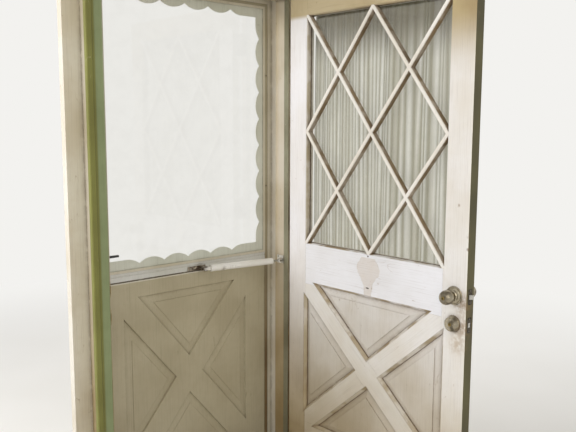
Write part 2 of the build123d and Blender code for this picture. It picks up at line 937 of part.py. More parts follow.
def glazing_beads_pieces():
    """Four beads that hold the pane in its rabbet from the room side."""
    back = glass_front - 2 * glass_play - glass_thickness
    outer = stile_inner + glass_rabbet
    inner = stile_inner - bead_lap
    section = [
        (outer, bead_setback),
        (outer, back),
        (inner, back),
        (inner, bead_chamfer),
        (outer - bead_ease, bead_setback),
    ]
    low = glass_bottom - glass_rabbet
    high = glass_top + glass_rabbet
    side = along_z(section, low, high)
    drop = high - outer
    top_section = [(depth, reach + drop) for reach, depth in section]
    rise = low + outer
    bottom_section = [(depth, rise - reach) for reach, depth in section]
    head = along_x(top_section, -inner, inner)
    foot = along_x(bottom_section, -inner, inner)
    return [side, mirrored(side), head, foot]


def knob_roses_pieces():
    """The stepped roses on both faces of the door, bored for the knobs' necks."""
    hole = knob_neck_radius + running_clearance
    profile = [(hole, 0)]
    for inset, height in rose_steps:
        profile.append((rose_radius - inset, height))
    profile.append((knob_neck_radius + rose_collar, rose_thickness))
    profile.append((hole, rose_thickness))
    return [turned(profile, lock_x, knob_z, True), turned(profile, lock_x, knob_z, False)]


def knob_profile():
    """Half the outline of a knob: shank, neck, flared body and flat face."""
    neck_end = rose_thickness + knob_neck
    outline = [
        (0, -knob_shank_depth),
        (knob_shank_radius, -knob_shank_depth),
        (knob_shank_radius, knob_shank_head),
        (knob_neck_radius, knob_shank_head),
        (knob_neck_radius, neck_end),
    ]
    for inset, height in knob_back:
        outline.append((knob_radius - inset, neck_end + height))
    for inset, drop in knob_front:
        outline.append((knob_radius - inset, knob_reach - drop))
    outline.append((0, knob_reach))
    return outline


def outside_knob_piece():
    """The keyed knob, bored for its plug."""
    knob = turned(knob_profile(), lock_x, knob_z, True)
    start = door_thickness + knob_reach - key_plug_depth
    end = door_thickness + knob_reach
    return knob - dowel(lock_x, knob_z, key_plug_radius + running_clearance, start, end)


def inside_knob_piece():
    """The plain knob on the room side."""
    return turned(knob_profile(), lock_x, knob_z, False)


def key_slot(height, y1):
    """A keyway cut in the face of a plug."""
    return block(
        lock_x - keyway_width / 2, lock_x + keyway_width / 2,
        y1 - keyway_depth, y1,
        height - keyway_height / 2, height + keyway_height / 2)


def knob_key_plug_piece():
    """The plug that the key turns in the knob."""
    start = door_thickness + knob_reach - key_plug_depth + fit_clearance
    end = door_thickness + knob_reach + key_plug_proud
    return dowel(lock_x, knob_z, key_plug_radius, start, end) - key_slot(knob_z, end)


def deadbolt_collars_pieces():
    """The outside cylinder collar and the plate under the thumb turn."""
    outer_hole = key_plug_radius + running_clearance
    spigot = lock_bore_radius - collar_spigot_play
    outer = [
        (outer_hole, -collar_spigot),
        (spigot, -collar_spigot),
        (spigot, 0),
        (collar_radius, 0),
        (collar_radius, collar_rim),
        (collar_radius - collar_waist, collar_waist_height),
        (collar_radius - collar_shoulder, collar_height - collar_shoulder_drop),
        (collar_radius - collar_face_inset, collar_height),
        (outer_hole, collar_height),
    ]
    inner_hole = turn_shaft_radius + running_clearance
    inner = [
        (inner_hole, 0),
        (collar_radius, 0),
        (collar_radius, inner_collar_rim),
        (collar_radius - collar_shoulder, inner_collar_height),
        (inner_hole, inner_collar_height),
    ]
    return [turned(outer, lock_x, bolt_z, True), turned(inner, lock_x, bolt_z, False)]


def deadbolt_plug_piece():
    """The plug that the key turns in the deadbolt's collar."""
    start = door_thickness - deadbolt_plug_depth
    end = door_thickness + collar_height + deadbolt_plug_proud
    return dowel(lock_x, bolt_z, key_plug_radius, start, end) - key_slot(bolt_z, end)


def thumb_turn_piece():
    """The thumb turn: a shaft through its plate and an upright wing."""
    wing_start = -inner_collar_height - fit_clearance
    wing_end = wing_start - turn_height
    shaft = dowel(lock_x, bolt_z, turn_shaft_radius, wing_end / 2, turn_shaft_depth)
    outline = Pos(lock_x, bolt_z) * Rot(0, 0, 90) * SlotOverall(turn_length, turn_width)
    return shaft + slab(outline, wing_end, wing_start)


def bolt_case(height, bolt_width, bolt_height):
    """A faceplate with the tube behind it that a bolt slides in."""
    tube_end = lock_x - lock_bore_radius + latch_tube_entry
    channel_y = bolt_width / 2 + fit_clearance
    channel_z = bolt_height / 2 + fit_clearance
    case = faceplate(height)
    case += bolt_bar(door_middle, height, latch_tube_radius, -door_half + faceplate_thickness, tube_end)
    return case - block(
        -door_half, tube_end,
        door_middle - channel_y, door_middle + channel_y,
        height - channel_z, height + channel_z)


def bolt_blank(height, width, tall, start, length):
    """A square bolt that runs across the door's width."""
    return block(
        start, start + length,
        door_middle - width / 2, door_middle + width / 2,
        height - tall / 2, height + tall / 2)


def latch_bolt_piece():
    """The sprung latch bolt, out, with its bevel towards the outside."""
    tip = -door_half - latch_bolt_throw
    bolt = bolt_blank(knob_z, latch_bolt_width, latch_bolt_height, tip, latch_bolt_length)
    front = door_middle + latch_bolt_width / 2
    bevel = [
        (tip, front),
        (tip + latch_bolt_throw - latch_bevel_stop, front),
        (tip, front - latch_bolt_width + latch_bevel_tip),
    ]
    return bolt - along_z(bevel, knob_z - latch_bolt_height, knob_z + latch_bolt_height)


def deadbolt_piece():
    """The deadbolt, drawn back flush with its faceplate."""
    return bolt_blank(bolt_z, dead_bolt_width, dead_bolt_height, -door_half, dead_bolt_length)


def curtain_piece():
    """The gathered curtain: one sheet in even folds, drawn down the window's height."""
    near = rod_standoff - rod_radius - fit_clearance
    middle = curtain_amplitude - near
    pitch = curtain_width / (2 * curtain_folds)
    left = -curtain_width / 2
    edges = []
    for index in range(2 * curtain_folds):
        x0 = left + index * pitch
        way = curtain_amplitude if index % 2 else -curtain_amplitude
        for depth in (middle, middle + curtain_thickness):
            edges.append(ThreePointArc((x0, depth), (x0 + pitch / 2, depth + way), (x0 + pitch, depth)))
    for x in (left, -left):
        edges.append(Line((x, middle), (x, middle + curtain_thickness)))
    section = Pos(0, 0, curtain_low) * make_face(edges)
    return extrude(section, amount=curtain_high - curtain_low, dir=(0, 0, 1))


def curtain_rods_pieces():
    """The rods over and under the window, on brackets at their ends."""
    rods = []
    for z in (curtain_low + rod_inset, curtain_high - rod_inset):
        rod = bolt_bar(-rod_standoff, z, rod_radius, -rod_length / 2, rod_length / 2)
        end = rod_length / 2
        foot = [
            (0, z - rod_bracket),
            (0, z + rod_bracket),
            (-rod_standoff, z + rod_radius),
            (-rod_standoff, z - rod_radius),
        ]
        arm = along_x(foot, end - rod_arm_thickness, end)
        rods.append(rod + arm + mirrored(arm))
    return rods


def storm_bars_pieces():
    """The bars that the storm door closes between: a flat flange on the outside casing, a lip
    behind the door's edge and a web beside it. The hinge side bar carries knuckles and pins."""
    back = casing_face
    front = back + bar_thickness
    web = storm_half + bar_web_gap
    foot = sill_thickness
    top = head_height + bar_flange
    side = block(opening_half - bar_lip, opening_half + bar_flange, back, front, foot, top)
    side += block(web, web + bar_thickness, back, storm_pin_y, foot, top)
    latch_side = mirrored(side)
    latch_side -= block(
        storm_latch_x - latch_plate_width, storm_latch_x + latch_plate_width,
        back, front,
        storm_latch_z - latch_plate_height / 2 - bar_latch_play,
        storm_latch_z + latch_plate_height / 2 + bar_latch_play)
    slot_z = storm_bolt_height / 2 + bar_slot_play_z
    slot_y = storm_bolt_width / 2 + bar_slot_play_y
    middle = storm_face + storm_thickness / 2
    latch_side -= block(
        -web - bar_thickness, -web,
        middle - slot_y, middle + slot_y,
        storm_latch_z - slot_z, storm_latch_z + slot_z)
    for centre in storm_hinge_centres():
        spans = knuckle_spans(centre, storm_hinge_height, 3, True)
        gap_low, gap_high = knuckle_spans(centre, storm_hinge_height, 3, False)[0]
        gap_low -= knuckle_gap
        gap_high += knuckle_gap
        side -= post(storm_pin_x, storm_pin_y, storm_barrel_radius + fit_clearance, gap_low, gap_high)
        for low, high in spans:
            side += post(storm_pin_x, storm_pin_y, storm_barrel_radius, low, high)
        side += post(storm_pin_x, storm_pin_y, storm_pin_radius, gap_low, gap_high)
    head = block(
        -opening_half + bar_lip, opening_half - bar_lip,
        back, front,
        head_height - bar_lip, top)
    head_web = head_height - storm_gap + bar_web_gap
    head += block(-storm_half, storm_half, front, storm_back, head_web, head_web + bar_thickness)
    return [side, latch_side, head]


def storm_hinge_centres():
    """The heights of the storm door's three hinges."""
    low = storm_bottom + storm_hinge_inset
    high = storm_top - storm_hinge_inset
    return [low, (low + high) / 2, high]


def storm_hinge_leaves_pieces():
    """Plates on the storm door's outer face, each with the middle knuckle of its hinge."""
    leaves = []
    for centre in storm_hinge_centres():
        low = centre - storm_hinge_height / 2
        high = centre + storm_hinge_height / 2
        leaf = block(
            storm_half - storm_leaf_width, storm_pin_x,
            storm_back, storm_back + bar_thickness,
            low, high)
        clear_radius = storm_barrel_radius + fit_clearance
        for start, end in knuckle_spans(centre, storm_hinge_height, 3, True):
            leaf -= post(storm_pin_x, storm_pin_y, clear_radius, start - knuckle_gap, end + knuckle_gap)
        start, end = knuckle_spans(centre, storm_hinge_height, 3, False)[0]
        leaf += post(storm_pin_x, storm_pin_y, storm_barrel_radius, start, end)
        leaves.append(leaf - post(storm_pin_x, storm_pin_y, storm_pin_radius + running_clearance, low, high))
    return leaves


def storm_stile():
    """An upright of the storm door, with eased edges."""
    section = [
        (storm_stile_inner, storm_face),
        (storm_half - stile_ease, storm_face),
        (storm_half, storm_face + stile_ease),
        (storm_half, storm_back - stile_ease),
        (storm_half - stile_ease, storm_back),
        (storm_stile_inner, storm_back),
    ]
    return along_z(section, storm_bottom, storm_top)


def storm_latch_stile_piece():
    """The latch side upright, cut for the latch bolt."""
    middle = storm_face + storm_thickness / 2
    half_y = storm_bolt_width / 2 + fit_clearance
    half_z = storm_bolt_height / 2 + fit_clearance
    return mirrored(storm_stile()) - block(
        -storm_half, -storm_half + storm_bolt_length + storm_bolt_play,
        middle - half_y, middle + half_y,
        storm_latch_z - half_z, storm_latch_z + half_z)


def storm_top_rail_piece():
    """The rail over the storm window."""
    low = window_top + insert_width
    return block(-storm_stile_inner, storm_stile_inner, storm_face, storm_back, low, storm_top)


def storm_middle_rail_piece():
    """The rail under the storm window, with a ridge along its room side face."""
    high = window_bottom - insert_width
    low = high - middle_rail_height
    top, top_inner, bottom_inner, bottom = middle_rail_ridge_places
    section = [
        (storm_face, low),
        (storm_back, low),
        (storm_back, high),
        (storm_face, high),
        (storm_face, high - top),
        (storm_face + middle_rail_ridge, high - top_inner),
        (storm_face + middle_rail_ridge, high - bottom_inner),
        (storm_face, high - bottom),
    ]
    return along_x(section, -storm_stile_inner, storm_stile_inner)


def pressed_panel_cut(face, surface, inward):
    """The pressed border of one triangle: a steep wall, a narrow flat, a long bevel back up
    and a crisp rim round the field."""
    floor = surface + inward * emboss_groove
    field = surface + inward * emboss_field_drop
    shoulder = field + inward * emboss_rim
    whole = taper(face, surface, 0, floor, -emboss_wall)
    bevel = taper(face, floor, -emboss_wall - emboss_ledge, shoulder, -emboss_bevel)
    rim = taper(face, shoulder, -emboss_bevel, field, -emboss_bevel - emboss_rim_width)
    return whole - bevel - rim


def storm_lower_panel_piece():
    """The lower panel, with a cross-buck pressed into both skins. A tongue along its top runs
    up to the middle rail and leaves a deep shadow line on both faces."""
    face_in = storm_face + storm_panel_recess
    face_out = storm_back - storm_panel_recess
    rail_foot = window_bottom - insert_width - middle_rail_height
    high = rail_foot - panel_shadow_gap
    half = storm_stile_inner
    panel = block(-half, half, face_in, face_out, storm_bottom, high)
    tongue_in = face_in + panel_tongue_recess
    tongue_out = face_out - panel_tongue_recess
    panel += block(-half, half, tongue_in, tongue_out, high, rail_foot)
    for face in emboss_outlines():
        panel -= pressed_panel_cut(face, face_in, 1)
        panel -= pressed_panel_cut(face, face_out, -1)
    return panel


def emboss_outlines():
    """The four triangles of the pressed cross-buck, in (x, z)."""
    width = 2 * emboss_half_width
    middle = Pos(0, door_bottom + emboss_bottom + emboss_height / 2)
    region = middle * Rectangle(width, emboss_height)
    slope = math.degrees(math.atan2(emboss_height, width))
    length = 2 * math.hypot(width, emboss_height)
    for way in (1, -1):
        region -= middle * Rot(0, 0, way * slope) * Rectangle(length, emboss_brace)
    return region.faces()


def storm_window_frame_pieces():
    """The window insert: four bars with a rebate for the glass, mitred at the corners."""
    outer = insert_width - insert_play
    section = [
        (0, insert_face),
        (outer, insert_face),
        (outer, insert_face + insert_depth),
        (storm_glass_edge + insert_play, insert_face + insert_depth),
        (storm_glass_edge + insert_play, insert_face + insert_lip),
        (0, insert_face + insert_lip),
    ]
    middle = (window_top + window_bottom) / 2
    half_height = (window_top - window_bottom) / 2
    low = insert_face
    high = insert_face + insert_depth
    side = along_z([(window_half + reach, depth) for reach, depth in section],
                   middle - half_height - outer, middle + half_height + outer)
    head = along_x([(depth, middle + half_height + reach) for reach, depth in section],
                   -window_half - outer, window_half + outer)
    side_mask = [
        (window_half, middle - half_height), (window_half + outer, middle - half_height - outer),
        (window_half + outer, middle + half_height + outer), (window_half, middle + half_height)]
    head_mask = [
        (-window_half, middle + half_height),
        (window_half, middle + half_height),
        (window_half + outer, middle + half_height + outer),
        (-window_half - outer, middle + half_height + outer)]
    side = side & across(side_mask, low, high)
    head = head & across(head_mask, low, high)
    foot = mirror(head, about=Plane.XY.offset(middle))
    return [side, mirrored(side), head, foot]


def storm_glass_piece():
    """The storm window's pane."""
    reach = storm_glass_edge
    back = insert_face + insert_lip + insert_play
    return block(
        -window_half - reach, window_half + reach,
        back, back + storm_glass_thickness,
        window_bottom - reach, window_top + reach)


def scalloped_edge(reach):
    """The wavy edge of one trim, drawn along X at z = 0 with its body below: a flat run at
    full depth, half a scallop, whole scallops, and the same again. The trim reaches as far
    to both sides, and as many scallops go in as leave room for the flat runs."""
    count = math.floor(2 * (reach - scallop_corner_run) / scallop_pitch) - 1
    half_run = count * scallop_pitch / 2
    cusp = scallop_base
    crest = scallop_base + scallop_rise
    half = scallop_pitch / 2
    radius = (half * half + scallop_rise * scallop_rise) / (2 * scallop_rise)
    sweep = math.asin(half / radius) / 2
    mid_x = half - radius * math.sin(sweep)
    mid_z = crest - radius * (1 - math.cos(sweep))
    edges = []
    for way, outer in ((-1, -reach), (1, reach)):
        edges.append(ThreePointArc(
            (way * half_run, cusp),
            (way * (half_run + mid_x), crest - radius * (1 - math.cos(math.asin((half - mid_x) / radius)))),
            (way * (half_run + half), crest)))
        edges.append(Line((way * (half_run + half), crest), (outer, crest)))
        edges.append(Line((outer, crest), (outer, 0)))
    for index in range(count):
        x0 = -half_run + index * scallop_pitch
        edges.append(ThreePointArc((x0, cusp), (x0 + half, crest), (x0 + scallop_pitch, cusp)))
    edges.append(Line((-reach, 0), (reach, 0)))
    return make_face(edges)


def window_scallops_pieces():
    """Four flat trims with scalloped inner edges, mitre free: the side trims run the full
    height and the head and foot trims lie between them."""
    low = insert_face + scallop_setback
    high = low + scallop_thickness
    crest = scallop_base + scallop_rise
    middle = (window_top + window_bottom) / 2
    half_height = (window_top - window_bottom) / 2
    side_face = Pos(window_half, middle) * Rot(0, 0, 90) * scalloped_edge(half_height)
    across_face = scalloped_edge(window_half - crest)
    head_face = Pos(0, window_top) * Rot(0, 0, 180) * across_face
    foot_face = Pos(0, window_bottom) * across_face
    side = slab(side_face, low, high)
    return [side, mirrored(side), slab(head_face, low, high), slab(foot_face, low, high)]


def storm_sweep_piece():
    """The channel under the storm door, with two fins that brush the sill."""
    low = storm_bottom - sweep_thickness
    half = storm_stile_inner
    sweep = block(-half, half, storm_face, storm_back, low, storm_bottom)
    for inset in sweep_fin_insets:
        fin_face = storm_face + inset - sweep_fin_thickness / 2
        sweep += block(-half, half, fin_face, fin_face + sweep_fin_thickness, low - sweep_fin, low)
    return sweep


def storm_latch_set_pieces():
    """The latch's plate on the room side, and the grip on the outside with its plate."""
    front = storm_face - latch_plate_thickness
    outline = Pos(storm_latch_x, storm_latch_z) * RectangleRounded(
        latch_plate_width, latch_plate_height, latch_plate_corner)
    plate = slab(outline, front, storm_face)
    plate -= dowel(storm_latch_x, storm_latch_z, lever_shaft_radius + running_clearance, front, storm_face)
    outer_plate = slab(outline, storm_back, storm_back + grip_plate_thickness)
    z0 = storm_latch_z - grip_height / 2
    z1 = storm_latch_z + grip_height / 2
    x0 = storm_latch_x - grip_width / 2
    x1 = storm_latch_x + grip_width / 2
    grip_front = storm_back + grip_standoff
    grip = block(x0, x1, storm_back, grip_front, z0, z1)
    grip -= block(x0, x1, storm_back, grip_front - grip_thickness, z0 + grip_foot, z1 - grip_boss)
    hole_radius = button_radius + running_clearance
    grip -= dowel(storm_latch_x, storm_button_z, hole_radius, storm_back + grip_plate_thickness, grip_front)
    return [plate, grip + outer_plate]


def storm_lever_piece():
    """The inside lever: a shaft through its plate and an arm that tapers to its end."""
    y0 = storm_face - lever_standoff - lever_thickness / 2
    y1 = y0 + lever_thickness
    half = lever_width / 2
    arm = [
        (storm_latch_x - half, storm_latch_z - half),
        (storm_latch_x + half, storm_latch_z - half),
        (storm_latch_x + lever_length, storm_latch_z - half * lever_taper),
        (storm_latch_x + lever_length, storm_latch_z + half * lever_taper),
        (storm_latch_x + half, storm_latch_z + half),
        (storm_latch_x - half, storm_latch_z + half),
    ]
    shaft = dowel(storm_latch_x, storm_latch_z, lever_shaft_radius, y0, storm_face - fit_clearance)
    return across(arm, y0, y1) + shaft


def storm_latch_bolt_piece():
    """The storm door's latch bolt, out through its edge."""
    middle = storm_face + storm_thickness / 2
    tip = -storm_half - storm_bolt_reach
    return block(
        tip, tip + storm_bolt_length,
        middle - storm_bolt_width / 2, middle + storm_bolt_width / 2,
        storm_latch_z - storm_bolt_height / 2, storm_latch_z + storm_bolt_height / 2)


def storm_button_piece():
    """The thumb button on the outside grip."""
    start = storm_back + grip_plate_thickness + button_travel + fit_clearance
    end = storm_back + grip_standoff + button_reach
    return dowel(storm_latch_x, storm_button_z, button_radius, start, end)


def closer_direction():
    """The angle from the closer's pivot on the storm door to its pivot on the jamb."""
    return math.degrees(math.atan2(closer_jamb_y - closer_pivot_y, closer_jamb_x - closer_pivot_x))


def on_closer(shape):
    """Lays a shape drawn along X from the door's pivot onto the closer's line."""
    return Pos(closer_pivot_x, closer_pivot_y, closer_z) * Rot(0, 0, closer_direction()) * shape


def closer_tube_piece():
    """The closer's tube with its end caps and the tongue that turns on the door's bracket."""
    length = closer_tube_end - closer_tube_start
    middle = (closer_tube_start + closer_tube_end) / 2
    tube = Pos(middle, 0, 0) * Rot(0, 90, 0) * Cylinder(closer_tube_radius, length)
    hollow = length - 2 * closer_cap
    tube -= Pos(middle, 0, 0) * Rot(0, 90, 0) * Cylinder(closer_tube_radius - closer_tube_wall, hollow)
    gland = Cylinder(closer_rod_radius + running_clearance, 3 * closer_cap)
    tube -= Pos(closer_tube_end, 0, 0) * Rot(0, 90, 0) * gland
    sides = (Align.MIN, Align.CENTER, Align.CENTER)
    tube += Box(closer_tube_start, 2 * closer_eye_radius, closer_tongue, align=sides)
    tube += Cylinder(closer_eye_radius, closer_tongue)
    tube -= Cylinder(closer_pin_radius + running_clearance, closer_tongue)
    return on_closer(tube)


def closer_rod_piece():
    """The closer's rod: piston, rod and the eye with its pin at the jamb."""
    length = closer_length - closer_piston_at
    rod = Pos(closer_piston_at + length / 2, 0, 0) * Rot(0, 90, 0) * Cylinder(closer_rod_radius, length)
    piston_radius = closer_tube_radius - closer_tube_wall - fit_clearance
    rod += Pos(closer_piston_at, 0, 0) * Rot(0, 90, 0) * Cylinder(piston_radius, closer_piston_length)
    rod += Pos(closer_length, 0, 0) * Cylinder(closer_eye_radius, closer_tongue - closer_eye_play)
    return on_closer(rod)


def closer_door_bracket_piece():
    """The bracket on the storm door's middle rail: a plate, two ears and the pivot's pin."""
    plate_x0 = closer_pivot_x + door_bracket_lead - door_bracket_length
    half = door_bracket_height / 2
    bracket = block(
        plate_x0, plate_x0 + door_bracket_length,
        storm_face - bracket_plate, storm_face,
        closer_z - half, closer_z + half)
    inner = closer_tongue / 2 + fit_clearance
    for way in (1, -1):
        low, high = sorted((closer_z + way * inner, closer_z + way * (inner + ear_thickness)))
        ear = block(
            closer_pivot_x - ear_width / 2, closer_pivot_x + ear_width / 2,
            closer_pivot_y, storm_face, low, high)
        ear += post(closer_pivot_x, closer_pivot_y, ear_width / 2, low, high)
        bracket += ear
    low = closer_z - inner - ear_thickness
    high = closer_z + inner + ear_thickness
    return bracket + post(closer_pivot_x, closer_pivot_y, closer_pin_radius, low, high)


def closer_jamb_bracket_piece():
    """The bracket on the hinge side stop: a plate and two ears over and under the rod's eye."""
    start = stop_face + strip_setback + strip_width + jamb_bracket_gap
    half = jamb_bracket_height / 2
    bracket = block(
        stop_half - bracket_plate, stop_half,
        start, start + jamb_bracket_length,
        closer_z - half, closer_z + half)
    inner = (closer_tongue - closer_eye_play) / 2 + fit_clearance
    for way in (1, -1):
        low, high = sorted((closer_z + way * inner, closer_z + way * (inner + ear_thickness)))
        ear_end = closer_jamb_y + 2 * closer_eye_radius
        outline = [
            (stop_half, start),
            (stop_half, ear_end),
            (closer_jamb_x, closer_jamb_y + closer_eye_radius),
            (closer_jamb_x, closer_jamb_y - closer_eye_radius),
        ]
        ear = along_z(outline, low, high) + post(closer_jamb_x, closer_jamb_y, closer_eye_radius, low, high)
        bracket += ear - post(closer_jamb_x, closer_jamb_y, closer_pin_radius, low, high)
    return bracket


def entry_door():
    """Every piece that rides on the entry door, turned open."""
    members = frame_members()
    members["hinge_stile"] = hinge_stile_piece(members["hinge_stile"])
    members["lock_stile"] = lock_stile_piece(members["lock_stile"])
    members["lock_rail"] = lock_rail_piece(members["lock_rail"])
    pieces = {name: [shape] for name, shape in members.items()}
    for name, panel in raised_panels().items():
        pieces[name] = [panel]
    pieces["lattice_bars"] = lattice_pieces()
    pieces["glass_pane"] = [glass_pane_piece()]
    pieces["glazing_beads"] = glazing_beads_pieces()
    pieces["knob_roses"] = knob_roses_pieces()
    pieces["outside_knob"] = [outside_knob_piece()]
    pieces["inside_knob"] = [inside_knob_piece()]
    pieces["knob_key_plug"] = [knob_key_plug_piece()]
    pieces["latch_case"] = [bolt_case(knob_z, latch_bolt_width, latch_bolt_height)]
    pieces["latch_bolt"] = [latch_bolt_piece()]
    pieces["deadbolt_collars"] = deadbolt_collars_pieces()
    pieces["deadbolt_case"] = [bolt_case(bolt_z, dead_bolt_width, dead_bolt_height)]
    pieces["deadbolt"] = [deadbolt_piece()]
    pieces["deadbolt_plug"] = [deadbolt_plug_piece()]
    pieces["thumb_turn"] = [thumb_turn_piece()]
    pieces["curtain"] = [curtain_piece()]
    pieces["curtain_rods"] = curtain_rods_pieces()
    return {name: [opened(shape) for shape in shapes] for name, shapes in pieces.items()}


def door_frame():
    """Every piece that stays with the frame."""
    return {
        "hinge_jamb": [hinge_jamb_piece()],
        "strike_jamb": [strike_jamb_piece()],
        "head_jamb": [head_jamb_piece()],
        "sill": [sill_piece()],
        "threshold": [threshold_piece()],
        "door_stops": door_stops_pieces(),
        "inside_casings": inside_casings_pieces(),
        "outside_casings": outside_casings_pieces(),
        "weatherstrips": weatherstrips_pieces(),
        "strike_plates": strike_plates_pieces(),
        "jamb_hinge_leaves": jamb_hinge_leaves_pieces(),
        "hinge_pins": hinge_pins_pieces(),
        "door_hinge_leaves": door_hinge_leaves_pieces(),
        "storm_bars": storm_bars_pieces(),
        "closer_jamb_bracket": [closer_jamb_bracket_piece()],
    }


def storm_door():
    """Every piece of the storm door and its closer."""
    return {
        "storm_hinge_stile": [storm_stile()],
        "storm_latch_stile": [storm_latch_stile_piece()],
        "storm_top_rail": [storm_top_rail_piece()],
        "storm_middle_rail": [storm_middle_rail_piece()],
        "storm_lower_panel": [storm_lower_panel_piece()],
        "storm_window_frame": storm_window_frame_pieces(),
        "storm_glass": [storm_glass_piece()],
        "window_scallops": window_scallops_pieces(),
        "storm_sweep": [storm_sweep_piece()],
        "storm_hinge_leaves": storm_hinge_leaves_pieces(),
        "storm_latch_set": storm_latch_set_pieces(),
        "storm_lever": [storm_lever_piece()],
        "storm_latch_bolt": [storm_latch_bolt_piece()],
        "storm_button": [storm_button_piece()],
        "closer_door_bracket": [closer_door_bracket_piece()],
        "closer_tube": [closer_tube_piece()],
        "closer_rod": [closer_rod_piece()],
    }


def write(name, shapes):
    """Writes one sub-part, made of one solid or a few separate ones."""
    solids = [solid for shape in shapes for solid in shape.solids()]
    whole = solids[0] if len(solids) == 1 else Compound(children=solids)
    whole.label = name
    export_step(whole, f"parts/{name}.step")


for group in (door_frame(), entry_door(), storm_door()):
    for node_name, node_shapes in group.items():
        write(node_name, node_shapes)
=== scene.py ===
"""Dresses an entrance door set: a cross-buck entry door with a diamond lattice window, standing
open in its painted frame, with an aluminium storm door closed behind it."""

import logging
import math
from dataclasses import dataclass
from enum import Enum
from typing import Any, Callable

import bpy
import numpy as np
from bpy.types import Material, Node, NodeSocket, NodeTree, Object
from mathutils import Matrix, Vector


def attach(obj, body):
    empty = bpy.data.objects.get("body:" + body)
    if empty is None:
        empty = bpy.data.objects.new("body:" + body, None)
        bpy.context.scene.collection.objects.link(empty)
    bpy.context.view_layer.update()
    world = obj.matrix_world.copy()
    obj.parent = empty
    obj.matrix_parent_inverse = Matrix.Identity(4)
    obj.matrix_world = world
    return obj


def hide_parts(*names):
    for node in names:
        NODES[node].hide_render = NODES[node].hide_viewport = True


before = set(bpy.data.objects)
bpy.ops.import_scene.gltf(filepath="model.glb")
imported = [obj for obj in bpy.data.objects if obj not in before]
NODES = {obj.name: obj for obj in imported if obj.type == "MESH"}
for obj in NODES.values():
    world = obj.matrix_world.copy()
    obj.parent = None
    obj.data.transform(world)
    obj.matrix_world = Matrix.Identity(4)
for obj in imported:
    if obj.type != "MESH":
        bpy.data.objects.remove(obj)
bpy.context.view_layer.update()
log = logging.getLogger("door_set")

MM = 0.001

# The hinge pins' axis, round which the entry door stands open, in millimetres
PIN_X = 458.5
PIN_Y = -7.0

Point = tuple[float, float, float]


def linear(hex_colour: str) -> tuple[float, float, float, float]:
    """Turns an sRGB hex colour into the linear colour that shaders take.

    Args:
        hex_colour: a mark and six hex digits.

    Returns:
        Red, green, blue and an alpha of one.
    """
    channels = [int(hex_colour[i:i + 2], 16) / 255 for i in (1, 3, 5)]
    shown = [c / 12.92 if c <= 0.04045 else ((c + 0.055) / 1.055) ** 2.4 for c in channels]
    return (shown[0], shown[1], shown[2], 1.0)


def add_node(tree: NodeTree, kind: str, inputs: dict[Any, Any] | None = None,
             **settings: Any) -> Node:
    """Adds one shader node.

    Args:
        tree: the node tree of a material or of the world.
        kind: the node's type, without its ShaderNode prefix.
        inputs: what each input takes, by name or number: a wire or a socket to link, a hex
            colour or a plain value.
        settings: the node's own properties.

    Returns:
        The new node.
    """
    node = tree.nodes.new("ShaderNode" + kind)
    for name, value in settings.items():
        setattr(node, name, value)
    for key, value in (inputs or {}).items():
        if isinstance(value, Wire):
            value = value.socket
        if isinstance(value, NodeSocket):
            tree.links.new(value, node.inputs[key])
        else:
            node.inputs[key].default_value = linear(value) if isinstance(value, str) else value
    return node


class Grain(Enum):
    """The direction in which a piece was brushed, sawn or drawn."""

    UPRIGHT = (0.0, 0.0, 1.0)
    ALONG_X = (1.0, 0.0, 0.0)
    ALONG_Y = (0.0, 1.0, 0.0)
    LONG_BRACE = (0.0, 0.751, 0.660)
    SHORT_BRACE = (0.0, -0.751, 0.660)


class Drive(Enum):
    """The recess in a screw's head."""

    SLOT = "slot"
    CROSS = "cross"
    NONE = "none"


class Facing(Enum):
    """The way that a screw's or a nail's head faces."""

    OUT_OF_ROOM = (0, 1, 0)
    TO_ROOM = (0, -1, 0)
    TO_HINGES = (1, 0, 0)
    TO_LATCH = (-1, 0, 0)


@dataclass(frozen=True)
class Mark:
    """A round stain or rubbed place on a surface.

    The colour fades out from the centre to the radius. Both are in metres.
    """

    centre: Point
    radius: float
    colour: str
    strength: float


@dataclass(frozen=True)
class CoatAndPaintedLight:
    """Another colour on one side of a piece: all that lies past a limit along one axis. It is a
    second paint on some pieces, and painted shade and painted highlights on others.

    The limit and the softness are in metres, and a negative softness takes the low side. The gaps
    are how much of it noise takes away.
    """

    axis: str
    limit: float
    soft: float
    fresh: str
    faded: str
    gaps: float = 0.0


@dataclass(frozen=True)
class Patches:
    """Soft blotches: the size of one in millimetres, how many finer layers are in it, and the
    noise levels, within about 0.3 to 0.7, where one begins and where it is full."""

    cell_mm: float
    layers: float
    low: float
    high: float


@dataclass(frozen=True)
class Corners:
    """Where dirt gathers, and on paint painted shade too: how far it reaches out of a corner or
    groove in millimetres, and how shut in a place is, 0 to 1, where it begins and where it is full."""

    reach_mm: float
    low: float
    high: float


